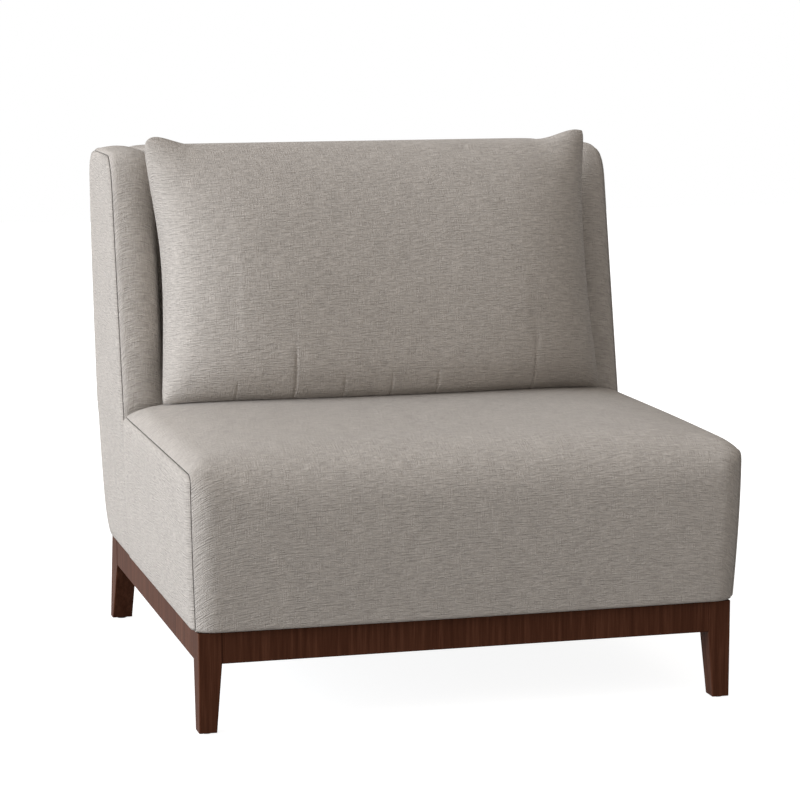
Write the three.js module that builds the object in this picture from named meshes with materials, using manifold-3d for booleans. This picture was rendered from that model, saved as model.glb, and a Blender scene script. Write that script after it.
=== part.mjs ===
// Slipper chair: a wood base, a sprung seat, a winged back and a loose back pillow.
// Lengths are in millimetres. x runs across the chair, y from its front legs to its back, z up.
import * as THREE from "three";
import { mergeVertices } from "three/addons/utils/BufferGeometryUtils.js";
import Module from "manifold-3d";

const wasm = await Module();
wasm.setup();

// Clearances
const gap = 0.3; // between pieces that rest on or slide past each other
const overrun = 20; // how far a cutting solid runs past what it cuts
const weldReach = gap / 1000; // corners closer than this are one corner

// Fineness of round forms
const curveSteps = 5; // straight steps in each curve of an outline
const cornerSteps = 3; // straight steps in each corner of a frame's opening
const arcSteps = 10; // straight steps along the sprung line
const levelSteps = 16; // levels of a side panel from its foot to its top
const wireSides = 5; // faces round a spring's wire
const stayWireSides = 8;
const screwSides = 12;
const glideSides = 16;
const halvings = 30; // halvings in the search for a height on a curve

// Wood base
const legSpan = 850; // over the outer faces of the legs
const baseDepth = 777; // front face of the front legs to the back face of the rear legs at the rail
const railTop = 156.3;
const railHeight = 48.5;
const railThickness = 22;
const railSetback = 0.5; // rails sit this far inside the leg faces
const edgeEaseWidth = 1.2; // eased edges of legs and rails
const frontLegWidth = 36;
const frontLegDepth = 40;
const frontFootWidth = 27.5;
const frontFootDepth = 29.5;
const rearLegWidth = 34.5;
const rearLegDepth = 45;
const rearFootDepth = 22.5;
const rearFootReach = 30; // how far the foot's back face stands behind the leg's
const glideRadius = 9;
const glideHeight = 2.5;
const glideEdgeRadius = 0.8;
const tenonLength = 16;
const tenonThickness = 10;
const tenonHeight = 32;
const blockLength = 108; // corner block along each rail, from the outer corner
const blockHeight = 30;
const screwRadius = 2.5;
const screwHeadRadius = 5.5;
const screwHeadHeight = 3;
const screwLength = 62;
const screwTipLength = 6;
const screwFrontInset = 48; // screw axis from the front face of the front legs
const screwBackInset = 90; // screw axis from the back face of the rear legs

// Seat frame and springing
const dustCoverThickness = 0.8;
const dustCoverInset = 6;
const seatRailThickness = 28;
const seatRailHeight = 100;
const seatFrameFrontInset = 12;
const seatFrameBackInset = 65; // behind the frame to the back face of the rear legs
const plywoodThickness = 18;
const wingFrameInset = 40; // from the leg faces in to the plywood wing frames
const springCount = 5;
const springLoops = 8;
const stepsPerLoop = 8;
const nearSteps = 4; // route points this close along the wire aren't a gap between loops
const springWireRadius = 1.8;
const springHalfWidth = 24;
const springCurlWidth = 9; // how far each loop swells past a plain wave
const springRiseHeight = 22; // crown of the springs over the rails
const springEndLength = 12; // length of spring end lying on a rail
const stayWireRadius = 1.6;
const feltThickness = 4;
const deckGap = 1.8; // from the felt's back edge to the lower back rail
const feltSideInset = 17; // from the side rails in to the felt
const screwHeadFaceShare = 1 / 2; // flat middle of a screw's head
const screwHeadRimShare = 1 / 3; // height of the head's rim

// Seat upholstery
const coverThickness = 1.8;
const seatFrontOverhangDepth = 15; // side seam in front of the leg face
const seatFrontBulgeDepth = 8; // the middle of the front bellies out this much more
const seatTopOverhangWidth = 13; // side panel outside the leg face at the top
const seatFootOverhangWidth = 5;
const seatSeamHeight = 398.7; // top seam of the side panels
const seatCrownHeight = 35; // rise of the top from the side seams to the middle
const seatLongCrownHeight = 6; // rise of the top from its front roll to its middle
const seatSeamCornerRadius = 30; // corner radius of the side panel
const seatFrontRollRadius = 72; // roll of the front edge at the middle
const seatPanelSetback = 220; // from the rear legs' back face to where the seat's side panels meet the wings
const seatCrownFlatness = 4; // a higher power keeps the crown level further out
const seatCrownRounding = 0.4; // a lower power turns the crown down more steeply at the seams
const seatHalfShares = [1, 0.985, 0.95, 0.88, 0.75, 0.5, 0.2]; // of the half width, from the side inwards

// Winged back
const wingThickness = 63; // from the leg faces in to the inner face of a wing
const wingFootSetback = 211; // the wing's front edge at the seat, from the rear legs' back face
const wingFootDrop = 10.7; // how far under the seat's side seam that edge starts
const wingBendSetback = 167;
const wingBendShare = 0.378; // height of the front edge's bend, from the seat's side seam to the top seam
const wingCornerSetback = 137; // the front edge under its top corner
const wingCornerHeight = 48.4; // that corner's height
const wingLevelSetback = 72; // where the top seam turns level
const wingTopHeight = 825.4; // top seam of the wing panels
const wingTopOverhang = 40; // end of the level top seam, behind the rear legs
const backCornerOverhang = 94; // the back edge under its top corner
const backCornerHeight = 56.4; // that corner's height
const backBendOverhang = 97;
const backBendShare = 0.5655; // height of the back edge's bend, measured as the front edge's is
const backLowOverhang = 13; // where the back edge starts to turn under the chair
const backLowHeight = 92.7; // that place over the wood rails
const backFootSetback = 77; // where the back's lower corner meets the underside
const wingBandCrownHeight = 9; // swell of the bands between their seams
const wingTopInset = 4; // how far the panel draws in at its top
const wingDrawShare = 0.589; // height where the panel starts to draw in, measured as the bends are
const backPanelCrownDepth = 10; // swell of the outside back over its width
const wingPadThickness = 24; // padding between the wing frame and the seams
const wingWindowMargin = 58; // from the seams to the opening in a wing frame
const windowRoundShare = 0.3; // how much of each side of that opening its corners take
const wingDrawEase = 2.5; // a higher power keeps the draw nearer the top
const backCrownFlatness = 4; // a higher power keeps the outside back level further out
const innerBackRake = 0.21; // setback of the inside back for each millimetre of height
const innerBackCornerRadius = 40;
const backRailThickness = 25;
const backRailHeight = 60;
const lowRailLift = 4.9; // underside of the lower back rail over the seat rails
const backRailPadThickness = 24; // foam over the top back rail
const webbingWidth = 50;
const webbingThickness = 1.5;
const webbingCount = 3;
const webbingSlack = 6 * gap; // play behind the webbing in the wings' padding
const backColumnShares = [-1, -0.95, -0.8, -0.5, 0, 0.5, 0.8, 0.95, 1]; // of the half width

// Each row is a share of the way across a form and the share of its full swell there
const wingStationShares = [
  [0, 0],
  [0.12, 0.75],
  [0.4, 1],
  [0.7, 1],
  [0.92, 0.7],
  [1, 0],
];
const backStationShares = [
  [-1, 0],
  [-0.97, 0.6],
  [-0.85, 0.95],
  [-0.4, 1],
  [0.4, 1],
  [0.85, 0.95],
  [0.97, 0.6],
  [1, 0],
];

// Loose pillow
const pillowSideInset = 41; // from the leg faces in to the side seams
const pillowTopInset = 2; // how much narrower each side is at the top
const pillowOverWing = 24; // top seam at the middle, over the top seam of the wings
const pillowSetback = 267; // seam plane at the bottom, from the rear legs' back face
const pillowFrontSwell = 98;
const pillowBackSwell = 117;
const pillowEarHeight = 12; // how far the top corners stand over the top seam
const pillowWaistInset = 6; // how far the side seams draw in
const pillowFootDrop = 9; // how far the bottom corners fall with the seat's crown
const pillowSettleDepth = 0.5; // how much lower the seat is under the pillow than at its highest
const pillowAcrossShares = [-1, -0.97, -0.9, -0.75, -0.5, -0.25, 0, 0.25, 0.5, 0.75, 0.9, 0.97, 1];
const pillowUpShares = [0, 0.015, 0.05, 0.11, 0.2, 0.34, 0.5, 0.68, 0.84, 0.94, 1];
const fillGap = 0.5; // slack between the fill and its cover
const zipShare = 0.65; // of the pillow's width
const zipHeight = 5;
const zipThickness = 1.2;
const zipSliderLength = 10;
const zipSliderWallThickness = 1.4;
const zipSliderDropHeight = 0.7;

// Sizes worked out from the ones above: across the chair
const halfSpan = legSpan / 2;
const wingInner = halfSpan - wingThickness;
const wingFrameInner = halfSpan - wingFrameInset;
const wingFrameOuter = wingFrameInner + plywoodThickness;
const seatSideInner = wingFrameInner - seatRailThickness;
const springPitch = (2 * seatSideInner) / (springCount + 1);
const seatHalfWidthTop = halfSpan + seatTopOverhangWidth;
const seatHalfWidthBottom = halfSpan + seatFootOverhangWidth;
const pillowHalfWidth = halfSpan - pillowSideInset;
const zipLength = zipShare * 2 * pillowHalfWidth;

// Heights
const railBottom = railTop - railHeight;
const frameBottom = railTop + dustCoverThickness;
const paddingBottom = frameBottom + gap;
const seatRailTop = frameBottom + seatRailHeight;
const seatTop = seatSeamHeight + seatCrownHeight;
const deckTop = seatRailTop + springRiseHeight + 2 * springWireRadius + 2 * stayWireRadius + feltThickness;
const lowRailLow = seatRailTop + lowRailLift;
const lowRailTop = lowRailLow + backRailHeight;
const pillowFoot = seatTop - pillowSettleDepth + zipSliderDropHeight + zipHeight + 3 * gap;
const pillowHeight = wingTopHeight + pillowOverWing - pillowFoot;
const heightOverSeam = (share) => seatSeamHeight + share * (wingTopHeight - seatSeamHeight);
const wingDrawStart = heightOverSeam(wingDrawShare);

// Depths
const skinGap = coverThickness + gap; // outer surface to the padding under the cover
const seatFrameBack = baseDepth - seatFrameBackInset;
const springFront = seatFrameFrontInset + seatRailThickness / 2;
const springBack = seatFrameBack - seatRailThickness / 2;
const seatPanelBack = baseDepth - seatPanelSetback;
const wingTopFront = baseDepth - wingLevelSetback;
const wingTopBack = baseDepth + wingTopOverhang;
const backFoot = baseDepth - backFootSetback;
const pillowDepth = baseDepth - pillowSetback;
const innerBackFoot = pillowDepth + pillowBackSwell + gap - innerBackRake * (pillowFoot - seatTop);
const lowRailFront = springBack + deckGap;
const webbingPlace = webbingThickness + 2 * gap;
const innerBackRear = lowRailFront - webbingPlace + innerBackRake * (seatTop - lowRailTop);
const innerBackThickness = innerBackRear - innerBackFoot;

// Corners and bends of the winged back's side outline, as depth and height
const wingFrontLow = new THREE.Vector2(baseDepth - wingFootSetback, seatSeamHeight - wingFootDrop);
const wingFrontBend = new THREE.Vector2(baseDepth - wingBendSetback, heightOverSeam(wingBendShare));
const wingFrontHigh = new THREE.Vector2(baseDepth - wingCornerSetback, wingTopHeight - wingCornerHeight);
const backHigh = new THREE.Vector2(baseDepth + backCornerOverhang, wingTopHeight - backCornerHeight);
const backBend = new THREE.Vector2(baseDepth + backBendOverhang, heightOverSeam(backBendShare));
const backLow = new THREE.Vector2(baseDepth + backLowOverhang, railTop + backLowHeight);

// Materials
const wood = new THREE.MeshStandardMaterial({ color: 0x4a2a1e, roughness: 0.42, metalness: 0 });
const hardwood = new THREE.MeshStandardMaterial({ color: 0xb98f5e, roughness: 0.7, metalness: 0 });
const plyboard = new THREE.MeshStandardMaterial({ color: 0xc9a878, roughness: 0.75, metalness: 0 });
const fabric = new THREE.MeshStandardMaterial({ color: 0x9d948c, roughness: 0.95, metalness: 0 });
const foam = new THREE.MeshStandardMaterial({ color: 0xe6dcc0, roughness: 1, metalness: 0 });
const felt = new THREE.MeshStandardMaterial({ color: 0x5d5d60, roughness: 1, metalness: 0 });
const blackCloth = new THREE.MeshStandardMaterial({ color: 0x1c1c1e, roughness: 1, metalness: 0 });
const webCloth = new THREE.MeshStandardMaterial({ color: 0x2b2b2d, roughness: 0.9, metalness: 0 });
const steel = new THREE.MeshStandardMaterial({ color: 0x8d8f92, roughness: 0.35, metalness: 1 });
const nylon = new THREE.MeshStandardMaterial({ color: 0xd8d6cf, roughness: 0.5, metalness: 0 });

const chair = new THREE.Group();

// Solids from meshes, and meshes from solids
function solidOf(geometry) {
  const bare = geometry.clone();
  bare.deleteAttribute("normal");
  bare.deleteAttribute("uv");
  const merged = mergeVertices(bare, weldReach);
  return new wasm.Manifold(
    new wasm.Mesh({
      numProp: 3,
      vertProperties: new Float32Array(merged.attributes.position.array),
      triVerts: new Uint32Array(merged.index.array),
    }),
  );
}

function geometryOf(solid) {
  const result = solid.getMesh();
  const positions = new Float32Array(result.numVert * 3);
  for (let i = 0; i < result.numVert; i += 1) {
    const start = i * result.numProp;
    positions.set(result.vertProperties.subarray(start, start + 3), i * 3);
  }
  const geometry = new THREE.BufferGeometry();
  geometry.setAttribute("position", new THREE.BufferAttribute(positions, 3));
  geometry.setIndex(new THREE.BufferAttribute(new Uint32Array(result.triVerts), 1));
  geometry.computeVertexNormals();
  return geometry;
}

function cut(geometry, ...tools) {
  const solid = tools.reduce((left, tool) => left.subtract(solidOf(tool)), solidOf(geometry));
  return geometryOf(solid);
}

function join(geometry, ...others) {
  const solid = others.reduce((left, other) => left.add(solidOf(other)), solidOf(geometry));
  return geometryOf(solid);
}

function common(geometry, other) {
  return geometryOf(solidOf(geometry).intersect(solidOf(other)));
}

function mirrored(geometry) {
  const copy = geometry.index ? geometry.toNonIndexed() : geometry.clone();
  copy.scale(-1, 1, 1);
  const array = copy.attributes.position.array;
  for (let start = 0; start < array.length; start += 3 * 3) {
    const second = start + 3;
    const third = second + 3;
    const kept = array.slice(second, third);
    array.copyWithin(second, third, third + 3);
    array.set(kept, third);
  }
  copy.computeVertexNormals();
  return copy;
}

function moved(geometry, x, y, z) {
  return geometry.clone().translate(x, y, z);
}

// Adds a named mesh
function place(name, geometry, material) {
  const mesh = new THREE.Mesh(geometry, material);
  mesh.name = name;
  chair.add(mesh);
}

// Adds a piece that is built on the right-hand side, and its mirror image
function placePair(ending, geometry, material, prefix = "") {
  place(prefix + "right_" + ending, geometry, material);
  place(prefix + "left_" + ending, mirrored(geometry), material);
}

// A box between two corners
function boxBetween(low, high) {
  const size = new THREE.Vector3().subVectors(high, low);
  const centre = new THREE.Vector3().addVectors(high, low).multiplyScalar(1 / 2);
  return new THREE.BoxGeometry(size.x, size.y, size.z).translate(centre.x, centre.y, centre.z);
}

function box(lowX, highX, lowY, highY, lowZ, highZ) {
  return boxBetween(new THREE.Vector3(lowX, lowY, lowZ), new THREE.Vector3(highX, highY, highZ));
}

// A box whose edges along its long way are eased by a small chamfer
function easedBar(widthY, heightZ, length, ease) {
  const y = widthY / 2;
  const z = heightZ / 2;
  const outline = new THREE.Shape();
  outline.moveTo(-y + ease, -z);
  outline.lineTo(y - ease, -z);
  outline.lineTo(y, -z + ease);
  outline.lineTo(y, z - ease);
  outline.lineTo(y - ease, z);
  outline.lineTo(-y + ease, z);
  outline.lineTo(-y, z - ease);
  outline.lineTo(-y, -z + ease);
  outline.closePath();
  return sideways(new THREE.ExtrudeGeometry(outline, { depth: length, bevelEnabled: false }));
}

// Turns an extrusion so that its outline lies in y and z and its depth runs along x
function sideways(geometry) {
  const turn = new THREE.Matrix4().makeBasis(
    new THREE.Vector3(0, 1, 0),
    new THREE.Vector3(0, 0, 1),
    new THREE.Vector3(1, 0, 0),
  );
  return geometry.applyMatrix4(turn);
}

// A solid of one side outline between two places across the chair
function sideSlab(points, lowX, highX, holes = []) {
  const outline = new THREE.Shape(points);
  outline.holes.push(...holes.map((hole) => new THREE.Path(hole)));
  const options = { depth: highX - lowX, bevelEnabled: false };
  return sideways(new THREE.ExtrudeGeometry(outline, options)).translate(lowX, 0, 0);
}

// A closed solid through rings that hold equal numbers of points
function loft(rings) {
  const count = rings[0].length;
  const positions = rings.flat().flatMap((point) => [point.x, point.y, point.z]);
  const index = [];
  for (let i = 0; i + 1 < rings.length; i += 1) {
    for (let j = 0; j < count; j += 1) {
      const next = (j + 1) % count;
      const corners = [i * count + j, i * count + next, (i + 1) * count + next, (i + 1) * count + j];
      index.push(corners[0], corners[1], corners[2]);
      index.push(corners[0], corners[2], corners[3]);
    }
  }
  const contour = rings[0].map((point) => new THREE.Vector2(point.y, point.z));
  const turn = Math.sign(THREE.ShapeUtils.area(contour));
  const lastStart = (rings.length - 1) * count;
  for (const face of THREE.ShapeUtils.triangulateShape(contour, [])) {
    const faceTurn = Math.sign(THREE.ShapeUtils.area(face.map((k) => contour[k])));
    const ordered = faceTurn === turn ? face : [face[0], face[2], face[1]];
    index.push(ordered[0], ordered[2], ordered[1]);
    index.push(lastStart + ordered[0], lastStart + ordered[1], lastStart + ordered[2]);
  }
  return facingOut(positions, index);
}

function facingOut(positions, index) {
  const geometry = new THREE.BufferGeometry();
  geometry.setAttribute("position", new THREE.Float32BufferAttribute(positions, 3));
  geometry.setIndex(index);
  if (volumeOf(positions, index) < 0) {
    geometry.setIndex(index.map((value, i) => index[i - (i % 3) + ((3 - (i % 3)) % 3)]));
  }
  geometry.computeVertexNormals();
  return geometry;
}

function volumeOf(positions, index) {
  const corner = (k) => new THREE.Vector3().fromArray(positions, index[k] * 3);
  let sum = 0;
  for (let i = 0; i < index.length; i += 3) {
    sum += corner(i).dot(corner(i + 1).cross(corner(i + 2)));
  }
  return sum / 6;
}

// Moves a closed outline inwards by one distance, or by its own distance at each point
function inset(points, distance) {
  const inward = -Math.sign(THREE.ShapeUtils.area(points));
  return points.map((point, i) => {
    const before = points[(i + points.length - 1) % points.length];
    const after = points[(i + 1) % points.length];
    const first = new THREE.Vector2().subVectors(point, before).normalize();
    const second = new THREE.Vector2().subVectors(after, point).normalize();
    const normalA = new THREE.Vector2(first.y, -first.x).multiplyScalar(inward);
    const normalB = new THREE.Vector2(second.y, -second.x).multiplyScalar(inward);
    const mitre = new THREE.Vector2().addVectors(normalA, normalB);
    const reach = typeof distance === "function" ? distance(point) : distance;
    return mitre.multiplyScalar(reach / (1 + normalA.dot(normalB))).add(point);
  });
}

// Wood base: legs, rails with tenons, corner blocks, screws and glides
function frontLeg() {
  const outer = halfSpan;
  const section = (z, width, depth) => [
    new THREE.Vector3(outer - edgeEaseWidth, 0, z),
    new THREE.Vector3(outer, edgeEaseWidth, z),
    new THREE.Vector3(outer, depth - edgeEaseWidth, z),
    new THREE.Vector3(outer - edgeEaseWidth, depth, z),
    new THREE.Vector3(outer - width + edgeEaseWidth, depth, z),
    new THREE.Vector3(outer - width, depth - edgeEaseWidth, z),
    new THREE.Vector3(outer - width, edgeEaseWidth, z),
    new THREE.Vector3(outer - width + edgeEaseWidth, 0, z),
  ];
  return stacked([
    section(glideHeight, frontFootWidth, frontFootDepth),
    section(railBottom, frontLegWidth, frontLegDepth),
    section(railTop, frontLegWidth, frontLegDepth),
  ]);
}

function rearLeg() {
  const back = baseDepth;
  const foot = back + rearFootReach;
  const footShare = (railTop - railBottom) / (railTop - glideHeight);
  const section = (z, low, high) => [
    new THREE.Vector3(halfSpan - edgeEaseWidth, low, z),
    new THREE.Vector3(halfSpan, low + edgeEaseWidth, z),
    new THREE.Vector3(halfSpan, high - edgeEaseWidth, z),
    new THREE.Vector3(halfSpan - edgeEaseWidth, high, z),
    new THREE.Vector3(halfSpan - rearLegWidth + edgeEaseWidth, high, z),
    new THREE.Vector3(halfSpan - rearLegWidth, high - edgeEaseWidth, z),
    new THREE.Vector3(halfSpan - rearLegWidth, low + edgeEaseWidth, z),
    new THREE.Vector3(halfSpan - rearLegWidth + edgeEaseWidth, low, z),
  ];
  return stacked([
    section(glideHeight, foot - rearFootDepth, foot),
    section(railBottom, back - rearLegDepth, back + rearFootReach * footShare),
    section(railTop, back - rearLegDepth, back),
  ]);
}

// A closed solid through level rings, given from the lowest up
function stacked(rings) {
  const turned = rings.map((ring) => ring.map((point) => new THREE.Vector3(point.z, point.x, point.y)));
  const solid = loft(turned);
  const back = new THREE.Matrix4().makeBasis(
    new THREE.Vector3(0, 0, 1),
    new THREE.Vector3(1, 0, 0),
    new THREE.Vector3(0, 1, 0),
  );
  return solid.applyMatrix4(back);
}

const railMiddle = (railTop + railBottom) / 2;
const tenonLow = railMiddle - tenonHeight / 2;
const tenonHigh = railMiddle + tenonHeight / 2;
const sideTenonInner = halfSpan - railSetback - (railThickness + tenonThickness) / 2;
const frontTenonFront = railSetback + (railThickness - tenonThickness) / 2;
const rearRailBack = baseDepth - railSetback;
const rearRailFront = rearRailBack - railThickness;
const rearTenonFront = rearRailFront + (railThickness - tenonThickness) / 2;
const rearLegFront = baseDepth - rearLegDepth;

// A mortise or a tenon as a box, grown all round by a clearance
function tenonBox(lowX, highX, lowY, highY, grow) {
  return box(lowX - grow, highX + grow, lowY - grow, highY + grow, tenonLow - grow, tenonHigh + grow);
}

function acrossTenon(legWidth, frontFace, grow) {
  const inner = halfSpan - legWidth;
  const low = grow ? inner : inner - gap;
  return tenonBox(low, inner + tenonLength, frontFace, frontFace + tenonThickness, grow);
}

function frontSideTenon(grow) {
  const low = frontLegDepth - tenonLength;
  return tenonBox(sideTenonInner, sideTenonInner + tenonThickness, low, frontLegDepth + gap, grow);
}

function rearSideTenon(grow) {
  const high = rearLegFront + tenonLength;
  return tenonBox(sideTenonInner, sideTenonInner + tenonThickness, rearLegFront - gap, high, grow);
}

function acrossRail(legWidth, frontFace) {
  const reach = halfSpan - legWidth - gap;
  const bar = easedBar(railThickness, railHeight, 2 * reach, edgeEaseWidth);
  const placed = bar.translate(-reach, frontFace + railThickness / 2, railMiddle);
  const tenonFront = frontFace + (railThickness - tenonThickness) / 2;
  const length = reach + gap + tenonLength;
  const tenon = box(-length, length, tenonFront, tenonFront + tenonThickness, tenonLow, tenonHigh);
  return join(placed, tenon);
}

function sideRail() {
  const low = frontLegDepth + gap;
  const high = rearLegFront - gap;
  const bar = easedBar(railThickness, railHeight, high - low, edgeEaseWidth).rotateZ(Math.PI / 2);
  const placed = bar.translate(halfSpan - railSetback - railThickness / 2, low, railMiddle);
  const reachLow = frontLegDepth - tenonLength;
  const reachHigh = rearLegFront + tenonLength;
  const inner = sideTenonInner;
  const tenon = box(inner, inner + tenonThickness, reachLow, reachHigh, tenonLow, tenonHigh);
  return join(placed, tenon);
}

const frontLegCut = cut(
  frontLeg(),
  acrossTenon(frontLegWidth, frontTenonFront, gap),
  frontSideTenon(gap),
);
const rearLegCut = cut(rearLeg(), acrossTenon(rearLegWidth, rearTenonFront, gap), rearSideTenon(gap));
placePair("leg", frontLegCut, wood, "front_");
placePair("leg", rearLegCut, wood, "rear_");
place("front_rail", acrossRail(frontLegWidth, railSetback), wood);
place("rear_rail", acrossRail(rearLegWidth, rearRailFront), wood);
placePair("rail", sideRail(), wood);

// A glue block in the corner of two rails. Towards is 1 at the front corners and -1 at the rear ones.
function cornerBlock(railFace, legFace, legWidth, towards) {
  const side = halfSpan - railSetback - railThickness;
  const legSide = halfSpan - legWidth - gap;
  const legEnd = legFace + towards * gap;
  const reachX = halfSpan - blockLength;
  const reachY = railFace + towards * (blockLength - railThickness);
  const outline = new THREE.Shape();
  outline.moveTo(legSide, railFace);
  outline.lineTo(reachX, railFace);
  outline.lineTo(side, reachY);
  outline.lineTo(side, legEnd);
  outline.lineTo(legSide, legEnd);
  outline.closePath();
  const options = { depth: blockHeight, bevelEnabled: false };
  return new THREE.ExtrudeGeometry(outline, options).translate(0, 0, railTop - blockHeight);
}

// A round-headed screw that points up, with its head's upper face at height zero
function screw() {
  const profile = [
    new THREE.Vector2(0, -screwHeadHeight),
    new THREE.Vector2(screwHeadRadius * screwHeadFaceShare, -screwHeadHeight),
    new THREE.Vector2(screwHeadRadius, -screwHeadHeight * screwHeadRimShare),
    new THREE.Vector2(screwHeadRadius, 0),
    new THREE.Vector2(screwRadius, 0),
    new THREE.Vector2(screwRadius, screwLength - screwTipLength),
    new THREE.Vector2(0, screwLength),
  ];
  return new THREE.LatheGeometry(profile, screwSides).rotateX(Math.PI / 2);
}

function screwHole() {
  const length = screwLength + gap + overrun;
  const radius = screwRadius + gap;
  const shank = new THREE.CylinderGeometry(radius, radius, length, screwSides);
  return shank.rotateX(Math.PI / 2).translate(0, 0, length / 2 - overrun);
}

const screwX = wingFrameInner - seatRailThickness / 2;
const screwBase = railTop - blockHeight - gap;
const screwPlaces = { front: screwFrontInset, rear: baseDepth - screwBackInset };
const sideRailHoles = Object.values(screwPlaces).map((y) => screwHole().translate(screwX, y, screwBase));
const frontBlock = cornerBlock(railSetback + railThickness, frontLegDepth, frontLegWidth, 1);
const rearBlock = cornerBlock(rearRailFront, rearLegFront, rearLegWidth, -1);
placePair("corner_block", cut(frontBlock, sideRailHoles[0]), wood, "front_");
placePair("corner_block", cut(rearBlock, sideRailHoles[1]), wood, "rear_");
placePair("frame_screw", screw().translate(screwX, screwPlaces.front, screwBase), steel, "front_");
placePair("frame_screw", screw().translate(screwX, screwPlaces.rear, screwBase), steel, "rear_");

function glide() {
  const profile = [
    new THREE.Vector2(0, 0),
    new THREE.Vector2(glideRadius - glideEdgeRadius, 0),
    new THREE.Vector2(glideRadius, glideEdgeRadius),
    new THREE.Vector2(glideRadius, glideHeight),
    new THREE.Vector2(0, glideHeight),
  ];
  return new THREE.LatheGeometry(profile, glideSides).rotateX(Math.PI / 2);
}

const frontGlideX = halfSpan - frontFootWidth / 2;
const rearGlideX = halfSpan - rearLegWidth / 2;
const rearGlideY = baseDepth + rearFootReach - rearFootDepth / 2;
placePair("glide", glide().translate(frontGlideX, frontFootDepth / 2, 0), nylon, "front_");
placePair("glide", glide().translate(rearGlideX, rearGlideY, 0), nylon, "rear_");

// Seat frame
const seatSideRail = box(
  seatSideInner,
  wingFrameInner,
  seatFrameFrontInset,
  seatFrameBack,
  frameBottom,
  seatRailTop,
);
placePair("seat_rail", cut(seatSideRail, ...sideRailHoles), hardwood);

function seatCrossRail(front) {
  const back = front + seatRailThickness;
  return box(-seatSideInner, seatSideInner, front, back, frameBottom, seatRailTop);
}

place("front_seat_rail", seatCrossRail(seatFrameFrontInset), hardwood);
place("rear_seat_rail", seatCrossRail(seatFrameBack - seatRailThickness), hardwood);

// Dust cover stapled under the frame
const dustSheet = box(
  -halfSpan + dustCoverInset,
  halfSpan - dustCoverInset,
  dustCoverInset,
  backFoot - gap,
  railTop,
  frameBottom,
);
place("dust_cover", cut(dustSheet, ...sideRailHoles, ...sideRailHoles.map(mirrored)), blackCloth);

// Height of the sprung line over the rails at a share of the way from front to back
function springHeight(share) {
  const fall = (2 * share - 1) ** 2;
  return seatRailTop + gap + springWireRadius + springRiseHeight * (1 - fall);
}

// The route of one sinuous spring, which snakes from rail to rail and rises in the middle
function springRoute() {
  const steps = stepsPerLoop * springLoops;
  const run = springBack - springFront;
  const points = [];
  for (let i = 0; i <= steps; i += 1) {
    const share = i / steps;
    const angle = share * springLoops * 2 * Math.PI;
    const x = springHalfWidth * Math.sin(angle);
    const y = springFront + run * share - springCurlWidth * Math.sin(2 * angle);
    points.push(new THREE.Vector3(x, y, springHeight(share)));
  }
  const start = points[0].clone().add(new THREE.Vector3(-springEndLength, 0, 0));
  const end = points[steps].clone().add(new THREE.Vector3(springEndLength, 0, 0));
  return [start, ...points, end];
}

// Least clear distance between stretches of a wire that aren't next to each other along it
function leastSelfGap(route, radius) {
  let least = Infinity;
  for (let i = 0; i < route.length; i += 1) {
    for (let j = i + nearSteps; j < route.length; j += 1) {
      least = Math.min(least, route[i].distanceTo(route[j]));
    }
  }
  return least - 2 * radius;
}

// A wire of round section through a route, closed at both ends, with its section kept upright
function wire(route, radius, sides) {
  const up = new THREE.Vector3(0, 0, 1);
  const rings = route.map((point, i) => {
    const before = route[Math.max(i - 1, 0)];
    const after = route[Math.min(i + 1, route.length - 1)];
    const along = new THREE.Vector3().subVectors(after, before).normalize();
    const side = new THREE.Vector3().crossVectors(along, up).normalize();
    const over = new THREE.Vector3().crossVectors(side, along);
    const ring = [];
    for (let k = 0; k < sides; k += 1) {
      const angle = (k / sides) * 2 * Math.PI;
      const reach = side.clone().multiplyScalar(radius * Math.cos(angle));
      ring.push(reach.addScaledVector(over, radius * Math.sin(angle)).add(point));
    }
    return ring;
  });
  return tubeThrough(rings);
}

function tubeThrough(rings) {
  const count = rings[0].length;
  const positions = rings.flat().flatMap((point) => [point.x, point.y, point.z]);
  const index = [];
  for (let i = 0; i + 1 < rings.length; i += 1) {
    for (let j = 0; j < count; j += 1) {
      const next = (j + 1) % count;
      index.push(i * count + j, i * count + next, (i + 1) * count + next);
      index.push(i * count + j, (i + 1) * count + next, (i + 1) * count + j);
    }
  }
  const last = (rings.length - 1) * count;
  for (let k = 1; k + 1 < count; k += 1) {
    index.push(0, k + 1, k);
    index.push(last, last + k, last + k + 1);
  }
  return facingOut(positions, index);
}

const springLine = springRoute();
const springSolid = wire(springLine, springWireRadius, wireSides);
console.log("spring self gap", leastSelfGap(springLine, springWireRadius).toFixed(2), "mm");
for (let i = 0; i < springCount; i += 1) {
  const x = (i - (springCount - 1) / 2) * springPitch;
  place("seat_spring_" + (i + 1), moved(springSolid, x, 0, 0), steel);
}

// Stay wire across the springs' crowns, and the felt that lies on it
const stayHeight = springHeight(1 / 2) + springWireRadius + gap + stayWireRadius;
const stayReach = (springCount * springPitch) / 2;
const stayWire = new THREE.CylinderGeometry(stayWireRadius, stayWireRadius, 2 * stayReach, stayWireSides);
const springMiddle = (springFront + springBack) / 2;
stayWire.rotateZ(Math.PI / 2).translate(0, springMiddle, stayHeight);
place("stay_wire", stayWire, steel);

const feltLift = springWireRadius + 2 * gap + 2 * stayWireRadius;
function arcLine(lift) {
  const points = [];
  for (let i = 0; i <= arcSteps; i += 1) {
    const share = i / arcSteps;
    const y = THREE.MathUtils.lerp(springFront, springBack, share);
    points.push(new THREE.Vector2(y, springHeight(share) + lift));
  }
  return points;
}

const feltOutline = [...arcLine(feltLift), ...arcLine(feltLift + feltThickness).reverse()];
const feltHalfWidth = seatSideInner - feltSideInset;
place("deck_felt", sideSlab(feltOutline, -feltHalfWidth, feltHalfWidth), felt);

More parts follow.
